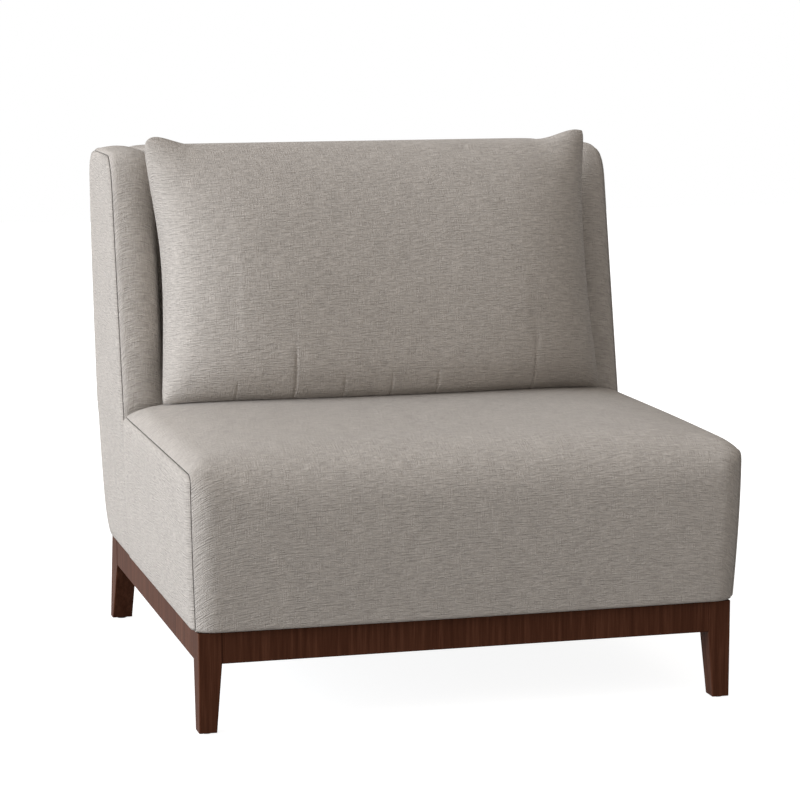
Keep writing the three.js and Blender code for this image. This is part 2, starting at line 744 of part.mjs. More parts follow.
// Seat padding and its covers
function seatHalfWidth(z) {
  const share = (z - paddingBottom) / (seatSeamHeight - paddingBottom);
  const eased = Math.sin((THREE.MathUtils.clamp(share, 0, 1) * Math.PI) / 2);
  return THREE.MathUtils.lerp(seatHalfWidthBottom, seatHalfWidthTop, eased);
}

// Side outline of the seat at a share of the half width from the middle line
function seatOutline(share) {
  const crownShare = (1 - Math.abs(share) ** seatCrownFlatness) ** seatCrownRounding;
  const top = seatSeamHeight + seatCrownHeight * crownShare - seatLongCrownHeight;
  const front = -seatFrontOverhangDepth - seatFrontBulgeDepth * crownShare;
  const roll = THREE.MathUtils.lerp(seatSeamCornerRadius, seatFrontRollRadius, crownShare);
  const back = innerBackFoot + innerBackThickness;
  const outline = new THREE.Path();
  outline.moveTo(back, paddingBottom);
  outline.lineTo(front + seatTopOverhangWidth, paddingBottom);
  outline.quadraticCurveTo(front, (paddingBottom + top) / 2, front, top - roll);
  outline.quadraticCurveTo(front, top, front + roll, top);
  outline.quadraticCurveTo((front + back) / 2, top + seatLongCrownHeight, back, top + seatLongCrownHeight);
  return outline.getPoints(curveSteps);
}

const seatStations = [...seatHalfShares.map((share) => -share), ...seatHalfShares.slice().reverse()];

// The seat's form, drawn in by a distance on its outline. Its ends are square and run on past the sides.
function seatForm(distance) {
  const rings = seatStations.map((share) =>
    inset(seatOutline(share), distance).map((point) => {
      return new THREE.Vector3(share * seatHalfWidthTop, point.x, point.y);
    }),
  );
  return loft(withLongEnds(rings));
}

// Rings with their first and last copied further out along x
function withLongEnds(rings) {
  const shifted = (ring, x) => ring.map((point) => new THREE.Vector3(point.x + x, point.y, point.z));
  const step = Math.sign(rings[1][0].x - rings[0][0].x) * overrun;
  return [shifted(rings[0], -step), ...rings, shifted(rings[rings.length - 1], step)];
}

// The space between the side panels, to share the seat's skin between its covers
function betweenSides(halfWidth, distance, low, high) {
  const right = [];
  for (let i = 0; i <= levelSteps; i += 1) {
    const z = THREE.MathUtils.lerp(low, high, i / levelSteps);
    right.push(new THREE.Vector2(halfWidth(z) - distance, z));
  }
  const left = right.map((point) => new THREE.Vector2(-point.x, point.y)).reverse();
  const outline = new THREE.Shape([...right, ...left]);
  const reachPast = 2 * seatFrontRollRadius;
  const length = baseDepth + 2 * reachPast;
  const slab = new THREE.ExtrudeGeometry(outline, { depth: length, bevelEnabled: false });
  return slab.rotateX(Math.PI / 2).translate(0, length - reachPast, 0);
}

// What stands beside and behind the seat: the wings and the raked inside back
function innerBackDepth(z) {
  return innerBackFoot + innerBackRake * (z - seatTop);
}

function besideWings(clearance) {
  const side = wingInner - gap - clearance;
  const front = seatPanelBack - clearance;
  const far = baseDepth + overrun;
  const block = box(side, seatHalfWidthTop + overrun, front, far, -overrun, seatTop + overrun);
  return [block, mirrored(block)];
}

function behindSeat(clearance) {
  const low = paddingBottom - overrun;
  const high = seatTop + overrun;
  const far = baseDepth + overrun;
  const outline = [
    new THREE.Vector2(innerBackDepth(low) - clearance, low),
    new THREE.Vector2(far, low),
    new THREE.Vector2(far, high),
    new THREE.Vector2(innerBackDepth(high) - clearance, high),
  ];
  return sideSlab(outline, -legSpan, legSpan);
}

const seatLevels = [-overrun, seatTop + overrun];
const seatForming = seatForm(0);
const seatHollowForm = seatForm(coverThickness);
const seatTopCover = cut(
  common(seatForming, betweenSides(seatHalfWidth, skinGap, ...seatLevels)),
  seatHollowForm,
  moved(seatHollowForm, 0, overrun, 0),
  moved(seatHollowForm, 0, 0, -overrun / 2),
  behindSeat(gap),
  ...besideWings(0),
);
place("seat_top_cover", seatTopCover, fabric);

const rightHalf = box(0, legSpan, -legSpan, 2 * legSpan, 0, 2 * legSpan);
const sidePanel = cut(
  common(common(seatForming, betweenSides(seatHalfWidth, 0, ...seatLevels)), rightHalf),
  betweenSides(seatHalfWidth, coverThickness, ...seatLevels),
  ...besideWings(0),
);
placePair("seat_side_cover", sidePanel, fabric);

// The hollow under the foam that holds the seat frame, springs and felt
function seatHollow() {
  const line = arcLine(feltLift + feltThickness + gap);
  const front = seatFrameFrontInset - gap;
  const back = seatFrameBack + overrun;
  const outline = [
    new THREE.Vector2(front, -overrun),
    new THREE.Vector2(front, line[0].y),
    ...line,
    new THREE.Vector2(back, line[line.length - 1].y),
    new THREE.Vector2(back, -overrun),
  ];
  return sideSlab(outline, -wingFrameInner - gap, wingFrameInner + gap);
}

const seatFoam = cut(
  common(seatForm(skinGap), betweenSides(seatHalfWidth, skinGap, ...seatLevels)),
  seatHollow(),
  behindSeat(gap),
  ...besideWings(gap),
);
place("seat_foam", seatFoam, foam);

// The y of a raked curve at a height, for a curve whose height falls all the way
function depthOnCurve(curve, z) {
  let low = 0;
  let high = 1;
  for (let i = 0; i < halvings; i += 1) {
    const middle = (low + high) / 2;
    const above = curve.getPoint(middle).y > z;
    low = above ? middle : low;
    high = above ? high : middle;
  }
  return curve.getPoint(low).x;
}

function backSurface(z) {
  return depthOnCurve(new THREE.QuadraticBezierCurve(backHigh, backBend, backLow), z);
}

// Winged back: the side outline that its seams follow
function backOutline() {
  const outline = new THREE.Path();
  outline.moveTo(seatPanelBack + gap, paddingBottom);
  outline.lineTo(seatPanelBack + gap, wingFrontLow.y - wingBandCrownHeight);
  outline.lineTo(wingFrontLow.x, wingFrontLow.y);
  outline.quadraticCurveTo(wingFrontBend.x, wingFrontBend.y, wingFrontHigh.x, wingFrontHigh.y);
  const frontTop = wingFrontHigh.x + wingBandCrownHeight;
  outline.quadraticCurveTo(frontTop, wingTopHeight, wingTopFront, wingTopHeight);
  outline.lineTo(wingTopBack, wingTopHeight);
  outline.quadraticCurveTo(backHigh.x - wingBandCrownHeight, wingTopHeight, backHigh.x, backHigh.y);
  outline.quadraticCurveTo(backBend.x, backBend.y, backLow.x, backLow.y);
  outline.quadraticCurveTo(backLow.x - overrun, paddingBottom, backFoot, paddingBottom);
  return outline.getPoints(curveSteps);
}

function wingHalfWidth(z) {
  const share = THREE.MathUtils.clamp((z - wingDrawStart) / (wingTopHeight - wingDrawStart), 0, 1);
  return Math.min(seatHalfWidth(z), seatHalfWidthTop) - wingTopInset * share ** wingDrawEase;
}

const seamOutline = backOutline();

// The back edge of the outline, where the outside back panel lies
function isBackEdge(point) {
  const underSeatTop = point.x > backFoot && point.y < seatTop;
  return underSeatTop || (point.x > wingTopFront && point.y < wingTopHeight);
}

// How much a point of the outline swells between the seams: nothing beside the seat and at the back
function swellShare(point) {
  const start = wingFrontLow.y;
  const rise = THREE.MathUtils.clamp((point.y - start) / (2 * overrun), 0, 1);
  return isBackEdge(point) ? 0 : rise;
}

// The wing's form outwards from its inner face, drawn in by a distance on its outline
function wingForm(distance, innerFace) {
  const rings = wingStationShares.map(([share, swell]) => {
    const shift = (point) => {
      const behind = isBackEdge(point) ? skinGap : 0;
      return distance + behind - swell * wingBandCrownHeight * swellShare(point);
    };
    return inset(seamOutline, shift).map((point) => {
      const outer = THREE.MathUtils.lerp(wingInner, seatHalfWidthTop, share);
      const x = share === 0 ? innerFace : outer;
      return new THREE.Vector3(x, point.x, point.y);
    });
  });
  const ends = withLongEnds(rings);
  return loft(ends.slice(1));
}

// The outer panel of a wing, one skin thick
const wingLevels = [-overrun, wingTopHeight + 2 * overrun];
const wingSideSlab = sideSlab(seamOutline, wingInner, seatHalfWidthTop + overrun);
const outerPanel = cut(
  common(wingSideSlab, betweenSides(wingHalfWidth, 0, ...wingLevels)),
  betweenSides(wingHalfWidth, coverThickness, ...wingLevels),
);
placePair("wing_outer_cover", outerPanel, fabric);

// Plywood wing frame with a rounded window
const frameOutline = inset(seamOutline, wingPadThickness).map((point, i) => {
  return new THREE.Vector2(point.x, seamOutline[i].y > paddingBottom ? point.y : paddingBottom);
});
// The wing's front edge at a height, along its raked curve
function frontSurface(z) {
  return depthOnCurve(new THREE.QuadraticBezierCurve(wingFrontHigh, wingFrontBend, wingFrontLow), z);
}

function windowCorner(z, backShare) {
  const front = frontSurface(z) + wingWindowMargin;
  const back = backSurface(z) - wingWindowMargin;
  return new THREE.Vector2(THREE.MathUtils.lerp(front, back, backShare), z);
}

// A closed path through corners, each rounded by a share of its sides
function roundedPath(corners, roundShare) {
  const path = new THREE.Path();
  corners.forEach((corner, i) => {
    const before = corners[(i + corners.length - 1) % corners.length];
    const after = corners[(i + 1) % corners.length];
    const enter = corner.clone().lerp(before, roundShare);
    const leave = corner.clone().lerp(after, roundShare);
    if (i === 0) path.moveTo(enter.x, enter.y);
    else path.lineTo(enter.x, enter.y);
    path.quadraticCurveTo(corner.x, corner.y, leave.x, leave.y);
  });
  return path.getPoints(cornerSteps);
}

const windowLow = seatTop + wingWindowMargin;
const windowHigh = wingTopHeight - 2 * wingWindowMargin;
const windowOutline = roundedPath(
  [
    windowCorner(windowLow, 0),
    windowCorner(windowLow, 1),
    windowCorner(windowHigh, 1),
    windowCorner(windowHigh, 0),
  ],
  windowRoundShare,
);
const wingFrame = sideSlab(frameOutline, wingFrameInner, wingFrameOuter, [windowOutline]);
placePair("wing_frame", wingFrame, plyboard);

const frameSlot = sideSlab(inset(frameOutline, -gap), wingFrameInner - gap, wingFrameOuter + gap);
const besideSeatFrame = box(
  wingInner - overrun,
  wingFrameInner + gap,
  0,
  seatFrameBack + gap,
  0,
  seatRailTop + gap,
);

// Back rails, webbing and foam between the wings
const paddingRake = Math.atan(innerBackRake);
const slabBackOffset = innerBackThickness + webbingPlace;

function backRail(low) {
  const high = low + backRailHeight;
  const front = innerBackDepth(high) + slabBackOffset;
  const back = Math.min(front + backRailThickness, backSurface(low) - skinGap - gap);
  return box(-wingFrameInner, wingFrameInner, front, back, low, high);
}

const topRailLow = wingTopHeight - backRailPadThickness - backRailHeight;
const topBackRail = backRail(topRailLow);
const lowBackRail = backRail(lowRailLow);
place("top_back_rail", topBackRail, hardwood);
place("low_back_rail", lowBackRail, hardwood);

function webbing(z) {
  const band = box(
    -wingFrameInner,
    wingFrameInner,
    0,
    webbingThickness,
    -webbingWidth / 2,
    webbingWidth / 2,
  );
  const depth = innerBackDepth(z) + innerBackThickness + 2 * gap;
  return band.rotateX(-paddingRake).translate(0, depth, z);
}

const webbingSpan = topRailLow - lowRailTop;
for (let i = 0; i < webbingCount; i += 1) {
  const z = lowRailTop + (webbingSpan * (i + 1 / 2)) / webbingCount;
  place("back_webbing_" + (i + 1), webbing(z), webCloth);
}

const backFoamLow = deckTop + 4 * gap;
function insideBackOutline() {
  const high = wingTopHeight - innerBackCornerRadius;
  const outline = new THREE.Path();
  outline.moveTo(innerBackDepth(backFoamLow), backFoamLow);
  outline.lineTo(innerBackDepth(high), high);
  const top = innerBackDepth(wingTopHeight);
  outline.quadraticCurveTo(top, wingTopHeight, top + innerBackCornerRadius, wingTopHeight);
  outline.lineTo(wingTopBack, wingTopHeight);
  outline.lineTo(backSurface(backHigh.y) - skinGap - wingBandCrownHeight, backHigh.y + overrun);
  outline.lineTo(backSurface(topRailLow) - skinGap, topRailLow);
  outline.lineTo(backSurface(backFoamLow) - skinGap, backFoamLow);
  return outline.getPoints(curveSteps);
}

const insideHalfWidth = wingInner - gap;
function insideBackRings(distance) {
  return backStationShares.map(([share, swell]) => {
    const shift = (point) => {
      const top = point.y >= wingTopHeight - gap ? wingBandCrownHeight : 0;
      return distance - swell * top;
    };
    const outline = inset(insideBackOutline(), shift);
    return outline.map((point) => new THREE.Vector3(share * insideHalfWidth, point.x, point.y));
  });
}

const insideHollow = loft(withLongEnds(insideBackRings(coverThickness)));
const insideCover = cut(
  loft(insideBackRings(0)),
  insideHollow,
  moved(insideHollow, 0, 2 * overrun, 0),
  moved(insideHollow, 0, 0, -overrun),
);
place("inside_back_cover", insideCover, fabric);

// The space behind the back foam for the rails and the webbing
function backHollow() {
  const high = wingTopHeight - backRailPadThickness + gap;
  const low = backFoamLow - overrun;
  const far = backHigh.x + overrun;
  const depth = (z) => innerBackDepth(z) + innerBackThickness;
  const outline = [
    new THREE.Vector2(depth(low), low),
    new THREE.Vector2(far, low),
    new THREE.Vector2(far, high),
    new THREE.Vector2(depth(high), high),
  ];
  return sideSlab(outline, -legSpan, legSpan);
}

place("back_foam", cut(loft(insideBackRings(skinGap)), backHollow()), foam);

// A rail's slot in the padding of a wing
function railSlot(rail) {
  rail.computeBoundingBox();
  const grow = new THREE.Vector3(0, gap, gap);
  const low = rail.boundingBox.min.clone().sub(grow);
  const high = rail.boundingBox.max.clone().add(grow);
  low.x = 0;
  high.x = wingFrameInner + gap;
  return boxBetween(low, high);
}

function webbingSlot() {
  const low = lowRailLow;
  const high = wingTopHeight - backRailPadThickness;
  const depth = (z) => innerBackDepth(z) + innerBackThickness;
  const outline = [
    new THREE.Vector2(depth(low), low),
    new THREE.Vector2(depth(low) + webbingThickness + webbingSlack, low),
    new THREE.Vector2(depth(high) + webbingThickness + webbingSlack, high),
    new THREE.Vector2(depth(high), high),
  ];
  return sideSlab(outline, 0, wingFrameInner + gap);
}

const wingSlots = [besideSeatFrame, webbingSlot(), railSlot(topBackRail), railSlot(lowBackRail)];
const wingHollow = wingForm(coverThickness, wingInner + coverThickness);
const betweenWingPanels = betweenSides(wingHalfWidth, skinGap, ...wingLevels);
const wingBand = cut(
  common(wingForm(0, wingInner), betweenWingPanels),
  wingHollow,
  moved(wingHollow, 0, overrun, 0),
  moved(wingHollow, 0, 0, -overrun / 2),
  ...wingSlots,
);
placePair("wing_inner_cover", wingBand, fabric);
const wingPadding = common(wingForm(skinGap, wingInner + skinGap), betweenWingPanels);
placePair("wing_foam", cut(wingPadding, frameSlot, ...wingSlots), foam);

// Outside back: one panel from wing to wing, swelling between its seams
const backLine = seamOutline.filter(isBackEdge);

function backLineSwollen(distance) {
  return backLine.map((point, i) => {
    const before = backLine[Math.max(i - 1, 0)];
    const after = backLine[Math.min(i + 1, backLine.length - 1)];
    const along = new THREE.Vector2().subVectors(after, before).normalize();
    const nearFoot = Math.min(1, (point.y - paddingBottom) / (backLow.y - paddingBottom));
    const reach = Math.max(distance, 0) * nearFoot + Math.min(distance, 0);
    return new THREE.Vector2(-along.y, along.x).multiplyScalar(reach).add(point);
  });
}

function outsideBackCover() {
  const rings = backColumnShares.map((share) => {
    const swell = backPanelCrownDepth * (1 - Math.abs(share) ** backCrownFlatness);
    const outer = backLineSwollen(swell);
    const inner = backLineSwollen(swell - coverThickness).reverse();
    return [...outer, ...inner].map((point) => {
      return new THREE.Vector3(share * (seatHalfWidthTop + overrun), point.x, point.y);
    });
  });
  return common(loft(rings), betweenWingPanels);
}

place("outside_back_cover", outsideBackCover(), fabric);

// How full the loose pillow is at a share of its height: full low down, slim at the top
function pillowFullness(up) {
  const foot = Math.sqrt(1 - (1 - up) ** 8);
  const head = (1 - up ** 2.2) ** 0.6;
  return foot * head;
}

const mostFull = Math.max(...pillowUpShares.map(pillowFullness));

// A point of the pillow's skin at shares across and up. Side is -1 in front of the seam and 1 behind it.
function pillowPoint(across, up, side, scale) {
  const reach = pillowHalfWidth - pillowTopInset * up - pillowWaistInset * (1 - (2 * up - 1) ** 2);
  const ear = pillowEarHeight * Math.abs(across) ** 12 * up ** 8;
  const drop = pillowFootDrop * across ** 10 * (1 - up) ** 8;
  const rise = pillowHeight * up + ear - drop;
  const frontShare = Math.sqrt(1 - across ** 4);
  const backShare = 1 - across ** 2;
  const upShare = pillowFullness(up) / mostFull;
  const swell = side < 0 ? pillowFrontSwell * frontShare : pillowBackSwell * backShare;
  const middle = pillowHeight / 2;
  return new THREE.Vector3(
    across * reach * scale.x,
    side * swell * upShare * scale.y,
    middle + (rise - middle) * scale.z,
  );
}

// The pillow's closed form, with its seam in the plane y = 0, shrunk towards its middle by a distance
function pillowForm(distance) {
  const scale = new THREE.Vector3(
    1 - distance / pillowHalfWidth,
    1 - distance / pillowFrontSwell,
    1 - (2 * distance) / pillowHeight,
  );
  const across = pillowAcrossShares.length;
  const up = pillowUpShares.length;
  const positions = [];
  const index = [];
  const isEdge = (i, j) => i === 0 || j === 0 || i === across - 1 || j === up - 1;
  const numberOf = (side, i, j) => (side > 0 && !isEdge(i, j) ? across * up : 0) + j * across + i;
  for (const side of [-1, 1]) {
    for (const upShare of pillowUpShares) {
      for (const acrossShare of pillowAcrossShares) {
        positions.push(...pillowPoint(acrossShare, upShare, side, scale).toArray());
      }
    }
    for (let j = 0; j + 1 < up; j += 1) {
      for (let i = 0; i + 1 < across; i += 1) {
        const a = numberOf(side, i, j);
        const b = numberOf(side, i + 1, j);
        const c = numberOf(side, i + 1, j + 1);
        const d = numberOf(side, i, j + 1);
        const faces = side < 0 ? [a, b, c, a, c, d] : [a, c, b, a, d, c];
        index.push(...faces);
      }
    }
  }
  const geometry = facingOut(positions, index);
  geometry.deleteAttribute("normal");
  return mergeVertices(geometry, weldReach);
}

// Leans a piece made in the pillow's own frame against the inside back, with its foot flat on the seat
function leant(geometry) {
  const lean = new THREE.Matrix4().makeShear(0, 0, 0, 0, 0, innerBackRake);
  return geometry.clone().applyMatrix4(lean).translate(0, pillowDepth, pillowFoot);
}

const pillowWhole = pillowForm(0);
const pillowInside = pillowForm(coverThickness);
const pillowReach = 2 * pillowHalfWidth;
const frontSide = box(-pillowReach, pillowReach, -pillowReach, -gap / 2, -pillowReach, pillowReach);
const backSide = box(-pillowReach, pillowReach, gap / 2, pillowReach, -pillowReach, pillowReach);
const pillowSkin = cut(pillowWhole, pillowInside);
place("pillow_front_cover", leant(common(pillowSkin, frontSide)), fabric);
place("pillow_back_cover", leant(common(pillowSkin, backSide)), fabric);
place("pillow_core", leant(pillowForm(skinGap + fillGap)), foam);

// Zip along the bottom seam, with its slider parked at the right-hand end
const zipTop = pillowFoot - gap;
const zipTape = box(
  -zipLength / 2,
  zipLength / 2,
  pillowDepth - zipThickness / 2,
  pillowDepth + zipThickness / 2,
  zipTop - zipHeight,
  zipTop,
);
place("zip_tape", zipTape, blackCloth);

const sliderEnd = zipLength / 2 - zipSliderLength;
const sliderReach = zipThickness / 2 + gap + zipSliderWallThickness;
const sliderBody = box(
  sliderEnd - zipSliderLength,
  sliderEnd,
  pillowDepth - sliderReach,
  pillowDepth + sliderReach,
  zipTop - zipHeight - gap - zipSliderDropHeight,
  zipTop - zipHeight / 3,
);
const sliderSlot = box(
  sliderEnd - 2 * zipSliderLength,
  sliderEnd + zipSliderLength,
  pillowDepth - zipThickness / 2 - gap,
  pillowDepth + zipThickness / 2 + gap,
  zipTop - zipHeight - gap,
  zipTop,
);
place("zip_slider", cut(sliderBody, sliderSlot), steel);

// The origin lies on the floor under the middle of the chair's outline
const extent = new THREE.Box3().setFromObject(chair);
chair.position.y = -(extent.min.y + extent.max.y) / 2;

export default chair;
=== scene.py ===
# %% [markdown]
# # Dressing a slipper chair
#
# A slipper chair is a low chair without arms. This one has a sprung seat, a winged back,
# a loose pillow and a wood base. The engineering model already holds its frame, so these
# cells only add what the eye meets: stuffed and sewn covers, finished wood, light and a camera.
# The first cell loads that model as a fixed frame. Everything is in metres, with x across the
# chair, y from its front to its back and z up from the floor.

# %% Load the frame
import math

import bpy
import numpy as np
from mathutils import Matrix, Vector


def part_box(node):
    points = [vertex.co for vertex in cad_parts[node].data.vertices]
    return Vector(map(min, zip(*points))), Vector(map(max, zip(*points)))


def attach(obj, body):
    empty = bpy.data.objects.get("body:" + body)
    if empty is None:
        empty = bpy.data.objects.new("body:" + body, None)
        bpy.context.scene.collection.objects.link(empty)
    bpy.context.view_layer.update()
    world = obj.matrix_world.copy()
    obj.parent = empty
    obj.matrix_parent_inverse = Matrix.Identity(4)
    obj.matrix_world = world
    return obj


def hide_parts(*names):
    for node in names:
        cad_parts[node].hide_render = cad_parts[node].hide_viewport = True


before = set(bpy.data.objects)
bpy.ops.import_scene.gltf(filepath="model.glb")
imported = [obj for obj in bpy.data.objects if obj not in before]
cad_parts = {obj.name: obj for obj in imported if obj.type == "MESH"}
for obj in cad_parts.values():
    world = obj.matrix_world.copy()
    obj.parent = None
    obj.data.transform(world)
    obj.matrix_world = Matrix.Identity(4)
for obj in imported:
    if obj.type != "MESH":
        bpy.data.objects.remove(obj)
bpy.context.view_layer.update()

# %% [markdown]
# ## Places that come from the frame
#
# Covers have to meet the wood exactly, so their sizes start from the wood's own boxes. Depths
# are measured from the front face of the front legs, as an upholsterer measures them, and are
# turned into y only when a mesh is made.

# %% Places on the base
leg_low, leg_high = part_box("front_right_leg")
rail_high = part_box("front_rail")[1]
deck_low, deck_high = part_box("deck_felt")
LEG_FACE = leg_high.x
LEG_FRONT = leg_low.y
RAIL_TOP = rail_high.z
CLEAR = 0.0003
WOOD_GAP = 0.0011
FOOT = RAIL_TOP + WOOD_GAP
print("leg face", round(LEG_FACE, 4), "rail top", round(RAIL_TOP, 4))

# %% [markdown]
# ## Small helpers for shaping
#
# Upholstery is made of soft curves between a few fixed corners. A quadratic bend through
# three points draws nearly all of them, and a path is some bends and straights end to end.


# %% Curves
def lerp(a, b, share):
    return a + (b - a) * share


def smooth(share):
    share = np.clip(share, 0, 1)
    return share * share * (3 - 2 * share)


def bend(start, corner, end, count):
    t = np.linspace(0, 1, count)[:, None]
    start, corner, end = np.array(start), np.array(corner), np.array(end)
    return (1 - t) ** 2 * start + 2 * t * (1 - t) * corner + t**2 * end


def straight(start, end, count):
    return lerp(np.array(start), np.array(end), np.linspace(0, 1, count)[:, None])


def trace(*stretches):
    """Stretches of a path end to end, without the doubled points."""
    return np.concatenate([stretches[0]] + [stretch[1:] for stretch in stretches[1:]])


def through(points, count):
    """A smooth path of that many points through the given ones, evenly spaced."""
    points = np.array(points, float)
    ends = np.concatenate([[2 * points[0] - points[1]], points, [2 * points[-1] - points[-2]]])
    fine = []
    for i in range(1, len(ends) - 2):
        before, start, end, after = ends[i - 1 : i + 3]
        t = np.linspace(0, 1, 24, endpoint=False)[:, None]
        rise = (end - before) / 2
        fall = (after - start) / 2
        fine.append(
            (2 * t**3 - 3 * t**2 + 1) * start
            + (t**3 - 2 * t**2 + t) * rise
            + (3 * t**2 - 2 * t**3) * end
            + (t**3 - t**2) * fall
        )
    return spaced_out(np.concatenate([*fine, ends[-2:-1]]), count)


def spaced_out(path, count):
    """The same path with evenly spaced points."""
    steps = np.linalg.norm(np.diff(path, axis=0), axis=1)
    length = np.concatenate([[0], np.cumsum(steps)])
    marks = np.linspace(0, length[-1], count)
    return np.stack([np.interp(marks, length, path[:, k]) for k in range(path.shape[1])], 1)


def drawn_in(path, distance):
    """A closed path moved inwards, by one distance or by one for each point."""
    along = np.roll(path, -1, 0) - np.roll(path, 1, 0)
    along /= np.linalg.norm(along, axis=1)[:, None]
    area = np.sum(path[:, 0] * np.roll(path[:, 1], -1) - np.roll(path[:, 0], -1) * path[:, 1])
    inward = np.stack([-along[:, 1], along[:, 0]], 1) * np.sign(area)
    return path + inward * np.broadcast_to(distance, len(path))[:, None]


EDGE_STEPS = (0, 0.0004, 0.001, 0.0019, 0.0031, 0.005, 0.008, 0.012)


def edge_shares(length, count):
    """Shares along a length, close together at both ends, where a seam rolls over."""
    near = np.array(EDGE_STEPS) / length
    middle = np.linspace(near[-1], 1 - near[-1], count + 1)[1:-1]
    return np.concatenate([near, middle, 1 - near[::-1]])


print("a quarter bend passes", bend((0, 0), (1, 0), (1, 1), 3)[1])

# %% [markdown]
# ## Helpers for cloth pieces
#
# Every cover starts as a flat grid, as it does on the cutting table, and is then laid onto its
# form corner by corner. While it is still a grid, the distances along its rows and columns are
# known, so they become a UV map in metres called cloth. The weave later follows that map, and
# runs round a rolled edge without stretching.


# %% Grids of cloth
def select_only(piece):
    bpy.ops.object.select_all(action="DESELECT")
    piece.select_set(True)
    bpy.context.view_layer.objects.active = piece


def lay_grid(name, x, depth, z):
    """A grid of cloth whose corners lie at these places, one array of rows and columns each."""
    points = np.stack(np.broadcast_arrays(x, LEG_FRONT + depth, z), -1)
    rows, columns = points.shape[:2]
    bpy.ops.object.select_all(action="DESELECT")
    bpy.ops.mesh.primitive_grid_add(x_subdivisions=columns - 1, y_subdivisions=rows - 1, size=1)
    piece = bpy.context.object
    piece.name = name
    mesh = piece.data
    assert len(mesh.vertices) == rows * columns, "the grid has another number of corners"
    mesh.vertices.foreach_set("co", points.reshape(-1).astype(np.float32))
    across = lengths_along(points, 1)
    up = lengths_along(points, 0)
    corner = np.zeros(len(mesh.loops), np.int32)
    mesh.loops.foreach_get("vertex_index", corner)
    mesh.uv_layers[0].name = "cloth"
    places = np.stack([across.reshape(-1)[corner], up.reshape(-1)[corner]], 1)
    mesh.uv_layers["cloth"].data.foreach_set("uv", places.reshape(-1).astype(np.float32))
    mesh.update()
    return piece


def lengths_along(points, axis):
    """Distance of each corner along its row or column, from the middle of it."""
    steps = np.linalg.norm(np.diff(points, axis=axis), axis=2)
    zero = np.zeros_like(np.take(steps, [0], axis))
    length = np.concatenate([zero, np.cumsum(steps, axis)], axis)
    return length - np.take(length, [length.shape[axis] // 2], axis)


def keep_values(piece, **values):
    """Keeps a number for each corner of a grid, by name, for its material or for later shaping."""
    for name, numbers in values.items():
        attribute = piece.data.attributes.new(name, "FLOAT", "POINT")
        numbers = np.broadcast_to(numbers, len(piece.data.vertices))
        attribute.data.foreach_set("value", numbers.astype(np.float32))


def values_of(piece, name):
    numbers = np.zeros(len(piece.data.vertices), np.float32)
    piece.data.attributes[name].data.foreach_get("value", numbers)
    return numbers


def places_of(piece):
    places = np.zeros(len(piece.data.vertices) * 3, np.float32)
    piece.data.vertices.foreach_get("co", places)
    return places.reshape(-1, 3)


def move_to(piece, places):
    piece.data.vertices.foreach_set("co", places.reshape(-1).astype(np.float32))
    piece.data.update()


def apply_all(piece):
    select_only(piece)
    for modifier in list(piece.modifiers):
        bpy.ops.object.modifier_apply(modifier=modifier.name)


def close_up(piece):
    """Sews the grid's meeting edges together, fills its open ends and turns its faces outwards."""
    select_only(piece)
    bpy.ops.object.mode_set(mode="EDIT")
    bpy.ops.mesh.select_all(action="SELECT")
    bpy.ops.mesh.remove_doubles(threshold=CLEAR / 100)
    bpy.ops.mesh.select_all(action="DESELECT")
    bpy.ops.mesh.select_non_manifold()
    bpy.ops.mesh.fill_holes(sides=0)
    bpy.ops.mesh.select_all(action="SELECT")
    bpy.ops.mesh.normals_make_consistent(inside=False)
    bpy.ops.object.mode_set(mode="OBJECT")


def turn_over(piece):
    select_only(piece)
    bpy.ops.object.mode_set(mode="EDIT")
    bpy.ops.mesh.select_all(action="SELECT")
    bpy.ops.mesh.flip_normals()
    bpy.ops.object.mode_set(mode="OBJECT")


def face_towards(piece, direction):
    """Turns an open grid over if its faces look away from a direction."""
    normals = np.zeros(len(piece.data.polygons) * 3, np.float32)
    piece.data.polygons.foreach_get("normal", normals)
    if float(normals.reshape(-1, 3).mean(0) @ np.array(direction)) < 0:
        turn_over(piece)


def thicken(piece, thickness):
    """Gives a grid its thickness, inwards from the face that shows."""
    solidify = piece.modifiers.new("thickness", "SOLIDIFY")
    solidify.thickness = thickness
    solidify.offset = -1
    apply_all(piece)


def refine(piece):
    """Rounds a closed piece off with one level of subdivision."""
    subdivision = piece.modifiers.new("refine", "SUBSURF")
    subdivision.levels = 1
    subdivision.render_levels = 1
    apply_all(piece)


def mirror_copy(piece, name):
    """The same piece for the left-hand side, with its own mesh."""
    twin = piece.copy()
    twin.data = piece.data.copy()
    twin.name = name
    bpy.context.collection.objects.link(twin)
    places = places_of(twin)
    places[:, 0] *= -1
    move_to(twin, places)
    turn_over(twin)
    return twin


print("a rolled edge is drawn with steps of", EDGE_STEPS[1:], "m")

# %% [markdown]
# ## Filling a cover
#
# A cover looks stuffed because the filling pushes it out between the places where it is sewn
# or tacked. Blender's cloth does the same: the grid is held along its seams, air pressure stands
# for the filling, and gravity is off. A real cover's wadding evens out the small creases that the
# simulation leaves, so only its swell straight outwards is kept, capped and evened out over the
# neighbouring corners. Nothing of the simulation is left on the piece.

# %% Stuffing by cloth simulation
STUFFING_FRAMES = 20
WADDING_PASSES = 60


def normals_of(piece):
    normals = np.empty(len(piece.data.vertices) * 3)
    piece.data.vertex_normals.foreach_get("vector", normals)
    return normals.reshape(-1, 3)


def evened(piece, values, held):
    """Averages each corner's value with its neighbours' over and over; held corners keep none."""
    ends = np.empty(len(piece.data.edges) * 2, dtype=np.int64)
    piece.data.edges.foreach_get("vertices", ends)
    one, other = ends.reshape(-1, 2).T
    neighbours = np.bincount(ends, minlength=len(values))
    for _ in range(WADDING_PASSES):
        around = np.bincount(one, values[other], len(values))
        around += np.bincount(other, values[one], len(values))
        values = np.where(held, 0, (values + around / neighbours) / 2)
    return values


